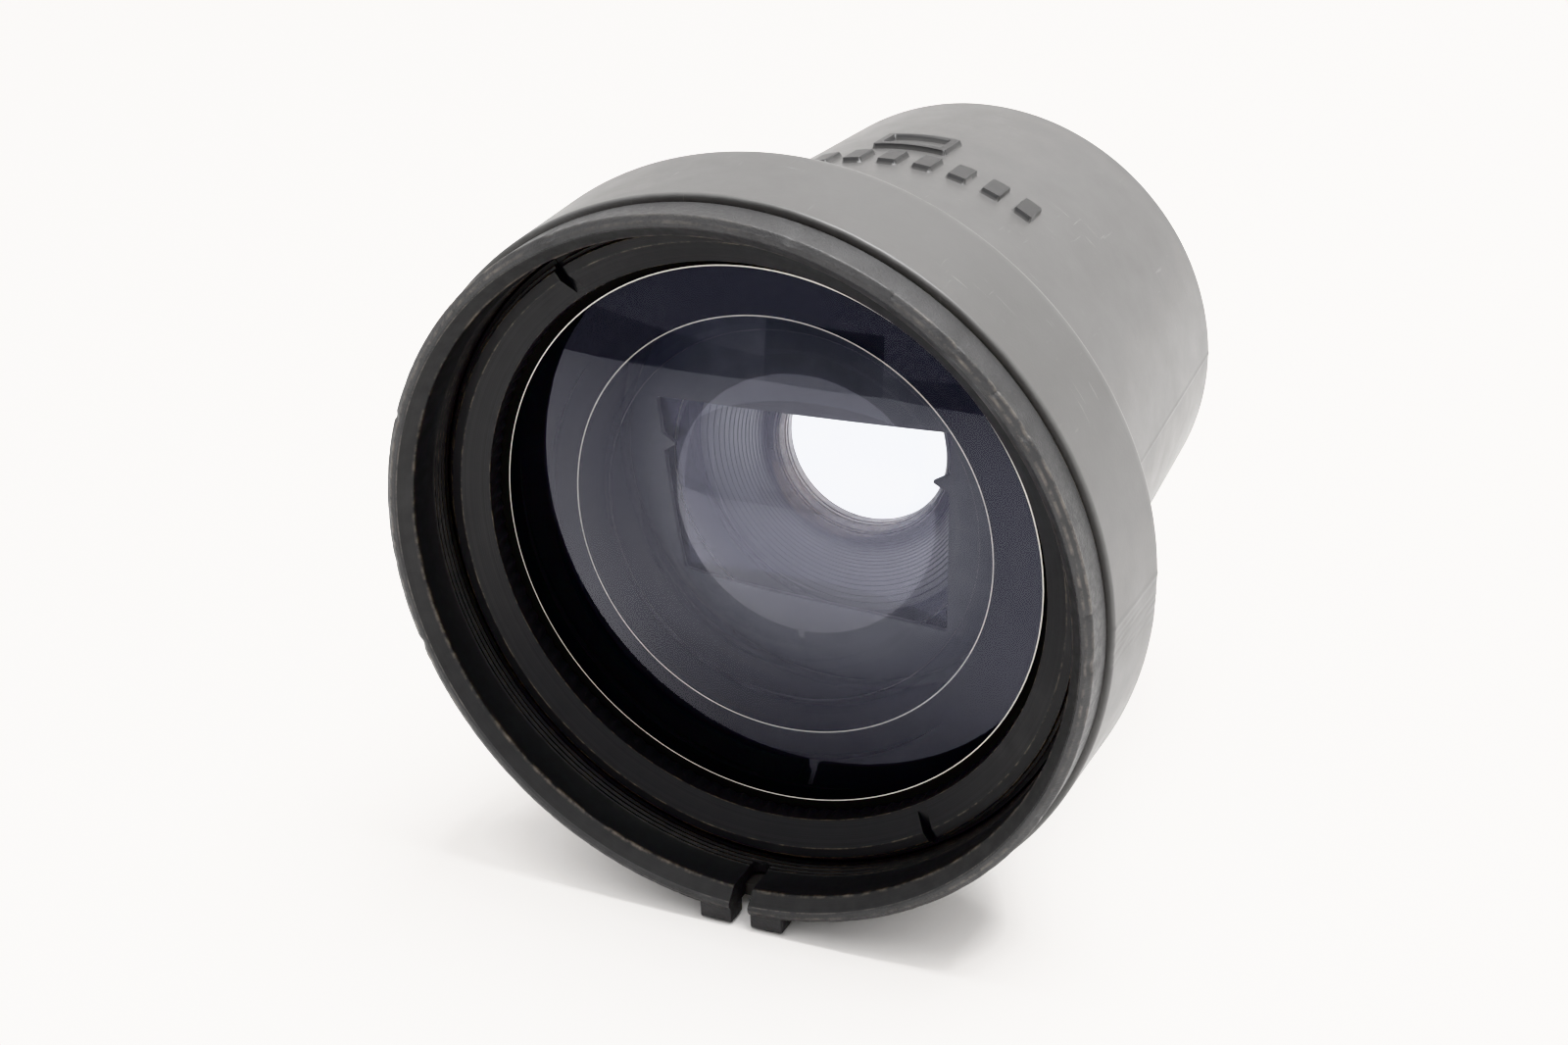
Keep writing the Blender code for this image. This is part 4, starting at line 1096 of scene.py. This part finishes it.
flats = [
    tool(f"stem_flat_{side}", flat_size, (side * flat_middle, 0, stem_shoulder)) for side in (-1, 1)
]
stem = place("shoe_stem", carve(stem_mesh, flats), [stem_steel])
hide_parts("foot_stem")
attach(stem, "finder_body")


# ---- Pressure plate ----
# Stamped stainless plate, keyed to the stem's flats. The lock ring drives it down onto the shoe's rails.
plate_wide, plate_long, plate_low, plate_high = sized("pressure_plate")
grip = slab("grip_plate", plate_wide, plate_long, plate_low, plate_high, 1.5, 0.2)
key_gap = 0.3
keyhole_outline = [(-2, stem_radius + key_gap), (3, stem_radius + key_gap)]
keyhole_mesh = mesh_only(peg("keyhole", keyhole_outline, (0, 0, plate_low), 96))
keys = [
    tool(f"key_{side}", (stem_radius, 20, 12), (side * (stem_flat + key_gap + stem_radius / 2), 0, plate_low))
    for side in (-1, 1)
]
grip = carve(grip, [bpy.data.objects.new("keyhole", carve(keyhole_mesh, keys))])
grip_plate = place("grip_plate", grip, [foot_steel])
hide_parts("pressure_plate")
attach(grip_plate, "pressure_plate")


# ---- Lock ring ----
# Turned ring, anodised black, with deep finger ribs. It runs on the stem's thread and presses the plate.
lock_wide, _, lock_low, lock_high = sized("lock_ring")
lock_radius, lock_ribs, rib_depth, lock_bore = lock_wide / 2, 24, 0.4, 4.8
lock_steps = lock_ribs * 12
lock_levels = [
    (lock_low, -0.35, 0.2),
    (lock_low + 0.12, -0.12, 0.6),
    (lock_low + 0.35, 0.0, 1.0),
    (lock_high - 0.35, 0.0, 1.0),
    (lock_high - 0.12, -0.12, 0.6),
    (lock_high, -0.35, 0.2),
]
places, faces, wear = [], [], []
for height, inset, cut in lock_levels:
    for i in range(lock_steps):
        angle = 2 * math.pi * i / lock_steps
        scallop = 0.5 - 0.5 * math.cos(angle * lock_ribs)
        r = lock_radius + inset - rib_depth * cut * scallop**1.5
        places.append((r * math.cos(angle) * mm, r * math.sin(angle) * mm, height * mm))
        wear.append(1.0 - scallop if inset else 0.4 * (1 - scallop))
recess, bore_chamfer = lock_high - 0.3, 0.2
inner_levels = [(lock_high, 6.6), (recess, 6.3), (recess, 5.2), (recess, lock_bore + bore_chamfer)]
inner_levels += [(recess - bore_chamfer, lock_bore), (lock_low + bore_chamfer, lock_bore)]
inner_levels += [(lock_low, lock_bore + bore_chamfer)]
for height, radius in inner_levels:
    places += round_points(radius, height, lock_steps)
    wear += [0.2] * lock_steps
rings = [range(at, at + lock_steps) for at in range(0, len(places), lock_steps)]
for below, above in zip(rings, rings[1:] + rings[:1]):
    faces += skin(below, above)
lock = place("grip_ring", mesh_of("grip_ring", places, faces, wear), [ring_black])
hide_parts("lock_ring")
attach(lock, "lock_ring")


# ---- Table, light and camera ----
# A white table top that sweeps up behind, inside a bright light tent; the room in front is darker, and
# the coated glass mirrors it.
table_white, tree, shader = finish("table_white", Roughness=0.7)
spot = where_on(tree)
whites = mixed(tree, grain(tree, spot, 6.0, 3.0), (0.80, 0.79, 0.78), (0.84, 0.83, 0.82))
tree.links.new(whites, shader.inputs["Base Color"])
bumps(tree, shader, (grain(tree, spot, 900, 2.0), 0.01))
front_edge = [(-1.8, -0.05), (-0.5, -0.12), (-0.31, -0.27), (-0.27, -0.40), (-0.20, -0.54)]
front_edge += [(-0.06, -0.58), (0.05, -0.49), (0.4, -0.42), (1.8, -0.40)]
table_back, sweep_radius, half_table, wall_top = 0.7, 0.35, 1.8, 1.6
sweep_profile = [(table_back, 0.0)]
for turn in range(6, 91, 6):
    angle = math.radians(turn)
    back, up = sweep_radius * math.sin(angle), sweep_radius - sweep_radius * math.cos(angle)
    sweep_profile.append((table_back + back, up))
sweep_profile.append((table_back + sweep_radius, wall_top))
places = [(x, y, z) for y, z in sweep_profile for x in (-half_table, half_table)]
faces = [(2 * i, 2 * i + 1, 2 * i + 3, 2 * i + 2) for i in range(len(sweep_profile) - 1)]
faces.append(tuple(range(len(places), len(places) + len(front_edge))) + (1, 0))
places += [(x, y, 0.0) for x, y in front_edge]
table_mesh = bpy.data.meshes.new("table_top")
table_mesh.from_pydata(places, [], faces)
table = place("table_top", table_mesh, [table_white])


def card(name, width, low, high, middle, grey):
    """An upright panel in front of the object, seen only in reflections."""
    mesh = bpy.data.meshes.new(name)
    left, right, y = middle[0] - width / 2, middle[0] + width / 2, middle[1]
    mesh.from_pydata([(left, y, low), (right, y, low), (right, y, high), (left, y, high)], [], [(0, 1, 2, 3)])
    panel = place(name, mesh, [dull_finish(name, (grey, grey, grey * 1.02), 0.9, 0.01, 60)])
    panel.visible_camera = False


card("room_wall", 4.4, 0.0, 1.1, (-0.2, -1.1), 0.62)
card("table_front", 4.4, -0.9, 0.0, (-0.2, -1.1), 0.42)
card("dark_stand", 0.17, -0.05, 0.075, (-0.155, -0.62), 0.22)

world = bpy.data.worlds.new("tent")
world.use_nodes = True
bpy.context.scene.world = world
tree = world.node_tree
sky = tree.nodes["Background"]
sky.inputs["Color"].default_value = (1.0, 0.99, 0.98, 1.0)
sky.inputs["Strength"].default_value = 1.7

soft_box = bpy.data.lights.new("soft_box", "AREA")
soft_box.shape, soft_box.size, soft_box.size_y, soft_box.energy = "RECTANGLE", 0.6, 0.5, 17.0
lamp = bpy.data.objects.new("soft_box", soft_box)
lamp.location = (0.22, 0.12, 0.9)
bpy.context.scene.collection.objects.link(lamp)

eye = bpy.data.cameras.new("eye")
eye.lens, eye.sensor_width, eye.clip_start, eye.clip_end = 59.87, 36.0, 0.01, 20.0
camera = bpy.data.objects.new("eye", eye)
camera.matrix_world = Matrix(
    (
        (0.90651, -0.15116, 0.39420, 0.09179),
        (0.42017, 0.41425, -0.80738, -0.21683),
        (-0.04125, 0.89752, 0.43903, 0.13749),
        (0.0, 0.0, 0.0, 1.0),
    )
)
bpy.context.scene.collection.objects.link(camera)
bpy.context.scene.camera = camera
bpy.context.scene.view_settings.view_transform = "Khronos PBR Neutral"
